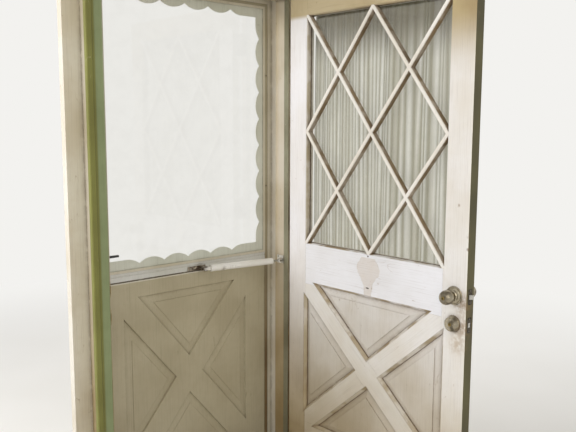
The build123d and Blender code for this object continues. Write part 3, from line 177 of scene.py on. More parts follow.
@dataclass(frozen=True)
class Wire:
    """A node's output, such as a share that varies over a surface, and the sums made of it."""

    tree: NodeTree
    socket: NodeSocket

    def reckon(self, operation: str, *values: Any) -> "Wire":
        """Joins wires and plain numbers by one operation."""
        node = add_node(self.tree, "Math", dict(enumerate(values)), operation=operation)
        return Wire(self.tree, node.outputs[0])

    def __mul__(self, other: Any) -> "Wire":
        """This times another."""
        return self.reckon("MULTIPLY", self, other)

    def __add__(self, other: Any) -> "Wire":
        """This and another."""
        return self.reckon("ADD", self, other)

    def __sub__(self, other: Any) -> "Wire":
        """This less another."""
        return self.reckon("SUBTRACT", self, other)

    def __rsub__(self, other: Any) -> "Wire":
        """A number less this."""
        return self.reckon("SUBTRACT", other, self)

    def __abs__(self) -> "Wire":
        """This without its sign."""
        return self.reckon("ABSOLUTE", self)

    def __or__(self, other: Any) -> "Wire":
        """The greater of this and another."""
        return self.reckon("MAXIMUM", self, other)

    def eased(self, low: float, high: float) -> "Wire":
        """Stretches one range of values over 0 to 1, eased and clamped.

        Args:
            low: the value that becomes 0.
            high: the value that becomes 1, which may be the lesser one.

        Returns:
            The stretched value.
        """
        inputs = {"Value": self, "From Min": low, "From Max": high}
        node = add_node(self.tree, "MapRange", inputs, interpolation_type="SMOOTHSTEP")
        return Wire(self.tree, node.outputs[0])


def seen_directly(tree: NodeTree) -> Wire:
    """Tells what the camera sees, straight, in a mirror or through glass, from plain light.

    Args:
        tree: the node tree of a material or of the world.

    Returns:
        1 for what is seen and 0 for light.
    """
    path = add_node(tree, "LightPath").outputs
    camera = Wire(tree, path["Is Camera Ray"])
    return camera | path["Is Glossy Ray"] | path["Is Transmission Ray"]


class Sketch:
    """A material's node tree, with the few patterns that the finishes share.

    A colour is a wire or an sRGB hex value.
    """

    def __init__(self, name: str) -> None:
        """Makes an empty material.

        Args:
            name: the finish's name.
        """
        self.material = bpy.data.materials.new(name)
        self.material.use_nodes = True
        self.tree = self.material.node_tree
        self.tree.nodes.clear()
        self.place = self.add("TexCoord", output="Object")

    def add(self, kind: str, inputs: dict[Any, Any] | None = None, *,
            output: int | str = 0, **settings: Any) -> Wire:
        """Adds a node to this tree and returns one of its outputs."""
        node = add_node(self.tree, kind, inputs, **settings)
        return Wire(self.tree, node.outputs[output])

    def laid(self, under: Any, over: Any, share: Wire) -> Wire:
        """Lays one colour over another by a share and returns the colour."""
        return self.add("Mix", {0: share, 6: under, 7: over}, output=2, data_type="RGBA")

    def clouds(self, cell_mm: float, layers: float) -> Wire:
        """Random clouds of a real size, with finer layers in them, of about 0.3 to 0.7."""
        inputs = {"Vector": self.place, "Scale": 1 / (cell_mm * MM), "Detail": layers}
        return self.add("TexNoise", inputs)

    def patches(self, kind: Patches) -> Wire:
        """Blotches of a real size: 1 in one and 0 between them."""
        return self.clouds(kind.cell_mm, kind.layers).eased(kind.low, kind.high)

    def fibres(self, grain: Grain, across_mm: float, along_mm: float, layers: float) -> Wire:
        """Random clouds drawn out along a grain.

        Args:
            grain: the direction of their long side.
            across_mm: a cloud's size across the grain.
            along_mm: its size along the grain.
            layers: how many finer layers are in them.

        Returns:
            A value of about 0.3 to 0.7.
        """
        turn = Vector(grain.value).rotation_difference(Vector((0, 0, 1))).to_euler()
        turned = self.add("Mapping", {"Vector": self.place, "Rotation": turn})
        scale = (1 / (across_mm * MM), 1 / (across_mm * MM), 1 / (along_mm * MM))
        drawn = self.add("Mapping", {"Vector": turned, "Scale": scale})
        inputs = {"Vector": drawn, "Scale": 1.0, "Detail": layers}
        return self.add("TexNoise", inputs)

    def beyond(self, axis: str, limit: float, soft: float) -> Wire:
        """1 past a limit along one axis and 0 before it, softened over a short way."""
        part = self.add("SeparateXYZ", {0: self.place}, output=axis)
        return part.eased(limit - soft, limit + soft)

    def distance_to(self, point: Point) -> Wire:
        """How far each place is from a point, in metres."""
        inputs = {0: self.place, 1: point}
        return self.add("VectorMath", inputs, output="Value", operation="DISTANCE")

    def shut_in(self, corners: Corners) -> Wire:
        """Finds the corners and grooves where dirt gathers, and where paint takes painted shade.

        Args:
            corners: how far the dirt reaches and how it fades.

        Returns:
            1 deep in a corner and 0 in the open.
        """
        inputs = {"Distance": corners.reach_mm * MM}
        shut = 1.0 - self.add("AmbientOcclusion", inputs, output="AO", samples=3)
        return shut.eased(corners.low, corners.high)

    def edge(self, radius_mm: float) -> Wire:
        """Finds the sharp edges where paint wears off.

        Args:
            radius_mm: how far from an edge the wear reaches.

        Returns:
            Near 1 on the edge and 0 on a flat.
        """
        rounded = self.add("Bevel", {"Radius": radius_mm * MM}, samples=3)
        inputs = {0: rounded, 1: self.add("NewGeometry", output="Normal")}
        return 1.0 - self.add("VectorMath", inputs, output="Value", operation="DOT_PRODUCT")

    def relief(self, height: Wire, strength: float, deep_mm: float) -> Wire:
        """The surface's normal with fine relief in it."""
        return self.add("Bump", {"Height": height, "Strength": strength, "Distance": deep_mm * MM})

    def finish(self, kind: str, inputs: dict[Any, Any]) -> Material:
        """Adds the last shader and links it to the output.

        Args:
            kind: the shader's type.
            inputs: what its inputs take.

        Returns:
            The finished material.
        """
        add_node(self.tree, "OutputMaterial", {"Surface": self.add(kind, inputs)})
        return self.material


@dataclass(frozen=True)
class Finish:
    """What a surface is made of or painted with, by the real finish's name."""

    name: str

    def build(self) -> Material:
        """Makes the material, in each kind of finish's own way."""
        raise NotImplementedError

    def put_on(self, *nodes: str) -> None:
        """Makes the material and puts it on CAD nodes.

        Args:
            nodes: the nodes that wear it.
        """
        material = self.build()
        for node in nodes:
            for slot in NODES[node].material_slots:
                slot.material = material


@dataclass(frozen=True)
class AgedPaint(Finish):
    """Oil paint, brushed on wood or sprayed on metal, that has yellowed, chipped and gathered dirt.

    The eye sees a soft sheen, fine brush marks along the grain, darker corners and bare spots on
    the edges. The darker corners are partly dirt and partly painted shade. The shares are how much
    of a flaw shows, 0 to 1.
    """

    fresh: str
    faded: str
    grime: str
    bare: str
    grain: Grain = Grain.UPRIGHT
    brush_mm: float = 2.2
    stroke_mm: float = 160.0
    fading: Patches = Patches(230.0, 4.0, 0.35, 0.68)
    mottle: Patches = Patches(24.0, 5.0, 0.42, 0.75)
    wear: Patches = Patches(65.0, 4.0, 0.42, 0.62)
    splash_mm: float = 120.0
    splash_height: float = 0.33
    stain: Patches = Patches(14.0, 5.0, 0.3, 0.62)
    dirt: Patches = Patches(38.0, 5.0, 0.2, 0.55)
    corners: Corners = Corners(16.0, 0.1, 0.75)
    joints: Corners = Corners(2.5, 0.3, 0.75)
    edge_mm: float = 1.4
    flakes: Patches = Patches(9.0, 6.0, 0.56, 0.62)
    nick_mm: float = 30.0
    knocked: Patches = Patches(70.0, 2.0, 0.55, 0.6)
    scratched: Patches = Patches(90.0, 2.0, 0.6, 0.66)
    scratch_mm: tuple[float, float] = (26.0, 150.0)
    mottle_share: float = 0.28
    stroke_share: float = 0.16
    grime_share: float = 0.75
    chip_share: float = 0.5
    foot_share: float = 0.0
    roughness: float = 0.42
    brush_depth: float = 0.12
    marks: tuple[Mark, ...] = ()
    coats: tuple[CoatAndPaintedLight, ...] = ()

    def build(self) -> Material:
        """Makes the material.

        Returns:
            The paint, ready to go on a piece.
        """
        sketch = Sketch(self.name)
        strokes = sketch.fibres(self.grain, self.brush_mm, self.stroke_mm, 4.0)
        fading = sketch.patches(self.fading)
        colour = sketch.laid(self.fresh, self.faded, fading)
        colour = sketch.laid(colour, self.faded, sketch.patches(self.mottle) * self.mottle_share)
        # Bands along one axis: a second paint on some pieces, painted shade and painted highlights
        # on others
        for coat in self.coats:
            share = sketch.beyond(coat.axis, coat.limit, coat.soft)
            if coat.gaps:
                share = share * (1.0 - sketch.patches(self.wear) * coat.gaps)
            colour = sketch.laid(colour, sketch.laid(coat.fresh, coat.faded, fading), share)
        colour = self.overlay(sketch, colour)
        colour = sketch.laid(colour, self.grime, strokes.eased(0.5, 0.72) * self.stroke_share)
        if self.foot_share:
            low = sketch.beyond("Z", self.splash_height, -0.3) * sketch.clouds(self.splash_mm, 5.0)
            colour = sketch.laid(colour, self.grime, low * self.foot_share)
        for mark in self.marks:
            near = sketch.distance_to(mark.centre).eased(mark.radius, 0.0)
            patchy = near * sketch.patches(self.stain)
            colour = sketch.laid(colour, mark.colour, patchy * mark.strength)
        # Darker in corners and grooves, partly dirt and partly painted shade, and in the joints
        dirt = sketch.shut_in(self.corners) * sketch.patches(self.dirt)
        for share in (dirt, sketch.shut_in(self.joints)):
            colour = sketch.laid(colour, self.grime, share * self.grime_share)
        chips = sketch.edge(self.edge_mm).eased(0.04, 0.22) * sketch.patches(self.flakes)
        bare = (chips | self.nicks(sketch)) * self.chip_share
        return sketch.finish("BsdfPrincipled", {
            "Base Color": sketch.laid(colour, self.bare, bare),
            "Roughness": strokes * 0.22 + self.roughness,
            "Normal": sketch.relief(strokes - bare * 2.0, self.brush_depth, 0.4),
        })

    def overlay(self, sketch: Sketch, colour: Wire) -> Wire:
        """Adds what a kind of paint has over its colour; plain paint has nothing."""
        return colour

    def nicks(self, sketch: Sketch) -> Wire:
        """Small knocks and thin scratches scattered over the paint.

        Args:
            sketch: the material's tree.

        Returns:
            1 in a nick and 0 elsewhere.
        """
        inputs = {"Vector": sketch.place, "Scale": 1 / (self.nick_mm * MM)}
        cells = sketch.add("TexVoronoi", inputs).eased(0.075, 0.045)
        spots = cells * sketch.patches(self.knocked)
        bent = abs(sketch.fibres(self.grain, *self.scratch_mm, 1.0) - 0.5)
        scratches = bent.eased(0.0045, 0.002) * sketch.patches(self.scratched)
        return spots | scratches


@dataclass(frozen=True)
class PrintedPaint(AgedPaint):
    """Paint with the print of a fitting that was taken off: a vase shape in older, browner paint.

    Its places are in metres, and its half widths in millimetres at shares of its height, the two
    ends first.
    """

    print_colour: str = "#E3DCD7"
    print_rim: str = "#A58C6B"
    middle: float = -0.4668
    low: float = 0.862
    high: float = 1.0235
    skin: float = 0.4078
    widest_mm: float = 100.0
    ragged_mm: float = 17.0
    broken: Patches = Patches(19.0, 4.0, 0.42, 0.66)
    half_widths: tuple[tuple[float, float], ...] = (
        (0.0, 19.0), (1.0, 34.0), (0.3, 22.0), (0.48, 38.0), (0.66, 57.0), (0.82, 54.0),
        (0.94, 40.0))

    def overlay(self, sketch: Sketch, colour: Wire) -> Wire:
        """Paints the print.

        Args:
            sketch: the material's tree.
            colour: the colour so far.

        Returns:
            The colour with the print over it.
        """
        deep, across, height = (sketch.add("SeparateXYZ", {0: sketch.place}, output=axis)
                                for axis in "XYZ")
        rise = (height - self.low) * (1 / (self.high - self.low))
        outline = add_node(sketch.tree, "FloatCurve", {"Value": rise})
        line = outline.mapping.curves[0]
        points = [(share, width / self.widest_mm) for share, width in self.half_widths]
        for point, place_on_line in zip(line.points, points):
            point.location = place_on_line
        for place_on_line in points[2:]:
            line.points.new(*place_on_line)
        outline.mapping.update()
        half = Wire(sketch.tree, outline.outputs[0]) * (self.widest_mm * MM)
        ragged = (sketch.clouds(13.0, 5.0) - 0.5) * (self.ragged_mm * MM)
        inward = half - abs(across - self.middle) + ragged
        outside = deep.eased(self.skin + 0.5 * MM, self.skin - 0.3 * MM)
        face = outside * (self.high - height).eased(-0.5 * MM, 0.8 * MM)
        body = inward.eased(-0.7 * MM, 1.0 * MM) * face
        rim = abs(inward).eased(1.7 * MM, 0.3 * MM) * face
        broken = rim * sketch.patches(self.broken)
        patchy = sketch.clouds(26.0, 5.0) * 0.6 + 0.55
        colour = sketch.laid(colour, self.print_colour, body * patchy)
        return sketch.laid(colour, self.print_rim, broken * 0.6)


@dataclass(frozen=True)
class WornMetal(Finish):
    """Bare or plated metal that is handled: bright where it is rubbed, and brown elsewhere.

    The eye sees sharp but broken reflections, fine drawing marks and tarnish in the corners.
    """

    bright: str
    tarnish: str
    grain: Grain = Grain.UPRIGHT
    roughness: float = 0.3
    tarnish_share: float = 0.6
    scratch_mm: tuple[float, float] = (0.8, 22.0)
    clouded: Patches = Patches(14.0, 4.0, 0.42, 0.72)
    corners: Corners = Corners(6.0, 0.12, 0.6)

    def build(self) -> Material:
        """Makes the material.

        Returns:
            The metal.
        """
        sketch = Sketch(self.name)
        drawn = sketch.fibres(self.grain, *self.scratch_mm, 3.0)
        dull = (sketch.patches(self.clouded) | sketch.shut_in(self.corners)) * self.tarnish_share
        return sketch.finish("BsdfPrincipled", {
            "Base Color": sketch.laid(self.bright, self.tarnish, dull),
            "Roughness": drawn * 0.2 + dull * 0.3 + (self.roughness - 0.08),
            "Metallic": 1.0,
            "Normal": sketch.relief(drawn, 0.08, 0.1),
        })


@dataclass(frozen=True)
class MouldedPlastic(Finish):
    """Moulded plastic or vinyl: even colour, a fine grain and a little dust in the corners."""

    colour: str
    dust: str
    roughness: float = 0.45
    grit_mm: float = 0.9
    dusty: Patches = Patches(30.0, 4.0, 0.4, 0.75)
    corners: Corners = Corners(6.0, 0.15, 0.8)
    dust_share: float = 0.35

    def build(self) -> Material:
        """Makes the material.

        Returns:
            The plastic.
        """
        sketch = Sketch(self.name)
        cloudy = sketch.patches(self.dusty)
        dust = (cloudy | sketch.shut_in(self.corners)) * self.dust_share
        return sketch.finish("BsdfPrincipled", {
            "Base Color": sketch.laid(self.colour, self.dust, dust),
            "Roughness": cloudy * 0.15 + self.roughness,
            "Normal": sketch.relief(sketch.clouds(self.grit_mm, 2.0), 0.15, 0.1),
        })


@dataclass(frozen=True)
class WeatheredWood(Finish):
    """Softwood under thin grey paint, rubbed through by feet and streaked along the grain."""

    worn: str
    dark: str
    paint: str
    grain: Grain = Grain.ALONG_X
    fibre_mm: tuple[float, float] = (3.5, 190.0)
    unworn: Patches = Patches(60.0, 6.0, 0.42, 0.5)
    corners: Corners = Corners(20.0, 0.1, 0.8)

    def build(self) -> Material:
        """Makes the material.

        Returns:
            The wood.
        """
        sketch = Sketch(self.name)
        fibre = sketch.fibres(self.grain, *self.fibre_mm, 6.0)
        wood = sketch.laid(self.worn, self.dark, fibre.eased(0.4, 0.65))
        left = sketch.patches(self.unworn)
        dirt = sketch.shut_in(self.corners)
        return sketch.finish("BsdfPrincipled", {
            "Base Color": sketch.laid(sketch.laid(wood, self.paint, left), self.dark, dirt * 0.6),
            "Roughness": 0.72,
            "Normal": sketch.relief(fibre + left * 0.4, 0.35, 0.5),
        })


@dataclass(frozen=True)
class WindowGlass(Finish):
    """Thin window glass: clear straight on, mirror-like at a slant, with a film of dust."""

    tint: str
    dust: str
    dust_share: float = 0.05
    shine: float = 1.3
    ripple_mm: float = 85.0
    smears: Patches = Patches(55.0, 6.0, 0.35, 0.75)
    corners: Corners = Corners(30.0, 0.3, 0.9)

    def build(self) -> Material:
        """Makes the material.

        Returns:
            The glass.
        """
        sketch = Sketch(self.name)
        clear = sketch.add("BsdfTransparent", {"Color": self.tint})
        ripple = sketch.relief(sketch.clouds(self.ripple_mm, 1.0), 0.05, 1.5)
        mirror = sketch.add("BsdfPrincipled", {
            "Base Color": "#FFFFFF",
            "Metallic": 1.0,
            "Roughness": 0.03,
            "Normal": ripple,
        })
        slant = sketch.add("Fresnel", {"IOR": 1.5, "Normal": ripple})
        front = 1.0 - sketch.add("NewGeometry", output="Backfacing")
        pane = sketch.add("MixShader", {0: slant * front * self.shine, 1: clear, 2: mirror})
        film = sketch.add("BsdfPrincipled", {"Base Color": self.dust, "Roughness": 0.9})
        dusty = (sketch.patches(self.smears) + sketch.shut_in(self.corners)) * self.dust_share
        return sketch.finish("MixShader", {0: dusty, 1: pane, 2: film})


@dataclass(frozen=True)
class SheerCloth(Finish):
    """Thin woven curtain cloth: it lets some light through and shows its folds by light and shade,
    with painted shade in upright streaks, in the fold valleys and along its top.

    The weave is drawn coarser than the real one, so that it shows.
    """

    colour: str
    shade: str
    valley_shade: str
    top_shade: str
    thread_mm: float = 1.6
    band_mm: tuple[float, float] = (34.0, 900.0)
    top_shade_height: float = 1.86
    through_share: float = 0.4
    gap_share: float = 0.12

    def build(self) -> Material:
        """Makes the material, whose weave follows the cloth's own map.

        Returns:
            The cloth.
        """
        sketch = Sketch(self.name)
        flat = sketch.add("UVMap", uv_map="cloth")
        scale = (1 / (self.thread_mm * MM),) * 3
        inputs = {"Vector": sketch.add("Mapping", {"Vector": flat, "Scale": scale}), "Scale": 0.5}
        warp, weft = (sketch.add("TexWave", inputs, output="Fac", bands_direction=way)
                      for way in "XY")
        bands = sketch.fibres(Grain.UPRIGHT, *self.band_mm, 3.0).eased(0.38, 0.66)
        crest = sketch.add("Attribute", output="Fac", attribute_name="crest")
        top_shade = sketch.beyond("Z", self.top_shade_height, 0.09)
        # Painted shade: upright streaks, the fold valleys and the top of the cloth
        colour = sketch.laid(self.colour, self.shade, bands * 0.85)
        colour = sketch.laid(colour, self.valley_shade, crest.eased(0.93, 0.15) * 0.9)
        colour = sketch.laid(colour, self.top_shade, top_shade * 0.85)
        face = sketch.add("BsdfPrincipled", {
            "Base Color": colour,
            "Roughness": 0.9,
            "Sheen Weight": 0.25,
            "Normal": sketch.relief(warp | weft, 0.2, 0.2),
        })
        through = sketch.add("BsdfTranslucent", {"Color": colour})
        lit = sketch.add("MixShader", {0: self.through_share, 1: face, 2: through})
        gap = sketch.add("BsdfTransparent")
        return sketch.finish("MixShader", {0: self.gap_share, 1: lit, 2: gap})


def at_rest(x: float, y: float, z: float) -> Vector:
    """Where a point of the closed entry door is with the door standing open.

    Args:
        x: across the closed door, in millimetres.
        y: outwards, in millimetres.
        z: up, in millimetres.

    Returns:
        The point in metres, turned a quarter round the hinge pins.
    """
    return Vector((PIN_X - (y - PIN_Y), PIN_Y + (x - PIN_X), z)) * MM


def clear_selection() -> None:
    """Leaves edit mode and deselects everything."""
    if bpy.context.object and bpy.context.object.mode != "OBJECT":
        bpy.ops.object.mode_set(mode="OBJECT")
    bpy.ops.object.select_all(action="DESELECT")


def joined(pieces: list[Object], name: str) -> Object:
    """Joins like pieces into one object, with its place in its mesh.

    Args:
        pieces: the pieces, all in place.
        name: the new object's name.

    Returns:
        The one object, at the origin.
    """
    clear_selection()
    for piece in pieces:
        piece.select_set(True)
    bpy.context.view_layer.objects.active = pieces[0]
    bpy.ops.object.join()
    whole = bpy.context.object
    whole.name = name
    bpy.ops.object.transform_apply(location=True, rotation=True, scale=True)
    return whole


@dataclass
class ScrewHead:
    """A screw's or a nail's head, as it shows where it is driven in.

    The sizes are in millimetres. The head is modelled once, facing +Z, and copied.
    """

    RIM_SHARE = 0.18
    DOME_SHARE = 0.3
    SLOT_SHARE = 0.13
    SLOT_REACH = 0.8
    CROSS_REACH = 0.55
    FIRST_TURN = 12.0
    NEXT_TURN = 37.0

    radius: float
    crown: float
    depth: float
    drive: Drive = Drive.SLOT

    def model(self) -> Object:
        """Models one head at the origin.

        Returns:
            The head, with its face towards +Z and the surface that it sits in at height 0.
        """
        clear_selection()
        bpy.ops.mesh.primitive_cylinder_add(
            vertices=20, radius=self.radius * MM, depth=self.depth * MM,
            location=(0, 0, (self.crown - self.depth / 2) * MM))
        head = bpy.context.object
        bpy.ops.object.transform_apply(location=True)
        bpy.ops.object.mode_set(mode="EDIT")
        self.pick(head, lambda centre, normal: normal.z > 0.9)
        bpy.ops.mesh.inset(thickness=self.RIM_SHARE * self.radius * MM,
                           depth=self.DOME_SHARE * self.crown * MM)
        if self.drive is not Drive.NONE:
            self.cut_recess(head)
        bpy.ops.mesh.select_all(action="SELECT")
        bpy.ops.mesh.normals_make_consistent(inside=False)
        bpy.ops.object.mode_set(mode="OBJECT")
        bpy.ops.object.shade_smooth_by_angle(angle=math.radians(35))
        return head

    def cut_recess(self, head: Object) -> None:
        """Sinks the slot or the cross into the head.

        Args:
            head: the head, in edit mode.
        """
        crossed = self.drive is Drive.CROSS
        half = self.SLOT_SHARE * self.radius * MM
        reach = (self.CROSS_REACH if crossed else self.SLOT_REACH) * self.radius * MM
        across, along = Vector((1, 0, 0)), Vector((0, 1, 0))
        cuts = [(half, across), (-half, across), (reach, along), (-reach, along)]
        if crossed:
            cuts += [(half, along), (-half, along), (reach, across), (-reach, across)]
        for offset, way in cuts:
            bpy.ops.mesh.select_all(action="SELECT")
            bpy.ops.mesh.bisect(plane_co=offset * way, plane_no=way)

        def in_recess(centre: Vector, normal: Vector) -> bool:
            """Tests for a top face inside the slot or the cross.

            Args:
                centre: the face's centre.
                normal: the face's normal.

            Returns:
                True for a face that is to be sunk.
            """
            upright = abs(centre.x) < half and abs(centre.y) < reach
            level = crossed and abs(centre.y) < half and abs(centre.x) < reach
            return normal.z > 0.9 and (upright or level)

        self.pick(head, in_recess)
        sunk = {"value": (0, 0, -0.8 * self.crown * MM)}
        bpy.ops.mesh.extrude_region_move(TRANSFORM_OT_translate=sunk)

    @staticmethod
    def pick(piece: Object, wanted: Callable[[Vector, Vector], bool]) -> None:
        """Selects the faces that pass a test on their centre and normal.

        Args:
            piece: the object in edit mode.
            wanted: the test.
        """
        bpy.ops.object.mode_set(mode="OBJECT")
        for polygon in piece.data.polygons:
            polygon.select = bool(wanted(polygon.center, polygon.normal))
        bpy.ops.object.mode_set(mode="EDIT")
        bpy.ops.mesh.select_mode(type="FACE")

    def row(self, name: str, centres: list[Point], facing: Facing) -> Object:
        """Copies the head to several places, each turned a little further, and joins the copies.

        Args:
            name: the joined object's name.
            centres: each head's centre in millimetres.
            facing: the way that they face.

        Returns:
            All the heads as one object.
        """
        first = self.model()
        turn = Vector((0, 0, 1)).rotation_difference(Vector(facing.value)).to_matrix().to_4x4()
        copies = []
        for index, centre in enumerate(centres):
            copy = first.copy()
            copy.data = first.data.copy()
            bpy.context.scene.collection.objects.link(copy)
            angle = math.radians(self.FIRST_TURN + self.NEXT_TURN * index)
            spin = Matrix.Rotation(angle, 4, "Z")
            copy.matrix_world = Matrix.Translation(Vector(centre) * MM) @ turn @ spin
            copies.append(copy)
        bpy.data.objects.remove(first)
        return joined(copies, name)


@dataclass(frozen=True)
class Row:
    """A row of like heads in one body."""

    name: str
    body: str
    slot: str
    metal: Material
    head: ScrewHead
    facing: Facing
    centres: list[Point]

    def drive(self) -> None:
        """Models the heads and lets them move with the body."""
        row = self.head.row(self.name, self.centres, self.facing)
        row.data.materials.clear()
        row.data.materials.append(self.metal)
        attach(row, self.body)
        log.info("%s: %d heads", self.name, len(self.centres))


@dataclass
class Fixings:
    """The heads of the screws and nails that show, in the pieces that they hold.

    Heights and places are in millimetres at rest.
    """

    hinge_heights: tuple[float, ...] = (361.8, 1136.5, 1911.2)
    hinge_holes: tuple[tuple[float, float], ...] = (
        (16.0, -38.0), (30.0, -13.0), (16.0, 13.0), (30.0, 38.0))
    lock_heights: tuple[float, ...] = (947.5, 845.9)
    storm_heights: tuple[float, ...] = (218.0, 1264.0, 1758.0)
    strap_heights: tuple[float, ...] = (262.0, 1070.0, 1878.0)
    strap_holes: tuple[tuple[float, float], ...] = ((431.0, -22.0), (437.0, 0.0), (431.0, 22.0))
    nail_heights: tuple[float, ...] = (200.0, 418.0, 627.0, 840.0, 1267.0, 1542.0, 1754.0, 2036.0)
    closer_height: float = 933.0
    latch_height: float = 1036.0

    def build(self) -> None:
        """Drives every row."""
        brass = WornMetal("old_brass_screws", "#9C8450", "#4F4029",
                          roughness=0.35, tarnish_share=0.75).build()
        steel = WornMetal("dull_steel_screws", "#8F8A7D", "#4A4338",
                          roughness=0.4, tarnish_share=0.7).build()
        bright = WornMetal("plated_steel_screws", "#B9B5A8", "#6E6656", tarnish_share=0.5).build()
        flush = ScrewHead(3.6, 0.5, 0.7)
        crossed = ScrewHead(3.4, 0.9, 1.0, Drive.CROSS)
        small = ScrewHead(2.6, 0.7, 0.9)
        nail = ScrewHead(1.9, 0.9, 1.2, Drive.NONE)
        holes = [(out, z + up) for z in self.hinge_heights for out, up in self.hinge_holes]
        ends = [z + up for z in self.lock_heights for up in (-22.5, 22.5)]
        straps = [(x, z + up) for z in self.strap_heights for x, up in self.strap_holes]
        stiles = [(x, z) for x in (-429.0, 429.0) for z in self.storm_heights]
        for row in (
            ("door_hinge_screws", "entry_door", "old_brass", brass, flush, Facing.OUT_OF_ROOM,
             [(451.5 - out, -8.5, z) for out, z in holes]),
            ("jamb_hinge_screws", "door_frame", "old_brass", brass, flush, Facing.TO_LATCH,
             [(460.0, out, z) for out, z in holes]),
            ("faceplate_screws", "entry_door", "plate_dark", steel, small, Facing.TO_ROOM,
             [(429.25, -922.5, z) for z in ends]),
            ("strike_screws", "door_frame", "old_brass", brass, small, Facing.TO_HINGES,
             [(-460.0, 22.25, z) for z in ends]),
            ("storm_stile_screws", "storm_door_body", "storm_white", steel, crossed,
             Facing.TO_ROOM, [(x, 180.0, z) for x, z in stiles]),
            ("storm_hinge_screws", "storm_door_body", "storm_white", bright, crossed,
             Facing.OUT_OF_ROOM, [(x, 213.6, z) for x, z in straps]),
            ("latch_plate_screws", "storm_door_body", "black_plastic", steel, small,
             Facing.TO_ROOM, [(-437.0, 175.0, self.latch_height + up) for up in (-37.0, 37.0)]),
            ("closer_door_screws", "storm_door_body", "closer_white", bright, crossed,
             Facing.TO_ROOM, [(x, 177.0, self.closer_height) for x in (10.0, 70.0)]),
            ("closer_jamb_screws", "door_frame", "closer_white", bright, crossed, Facing.TO_LATCH,
             [(444.0, 97.5 + by, self.closer_height + by) for by in (-12.0, 12.0)]),
            ("hinge_strip_nails", "door_frame", "strip_metal", bright, nail, Facing.TO_LATCH,
             [(445.6, 65.0, z) for z in self.nail_heights]),
            ("strike_strip_nails", "door_frame", "strip_metal", bright, nail, Facing.TO_HINGES,
             [(-445.6, 65.0, z) for z in self.nail_heights]),
        ):
            Row(*row).drive()


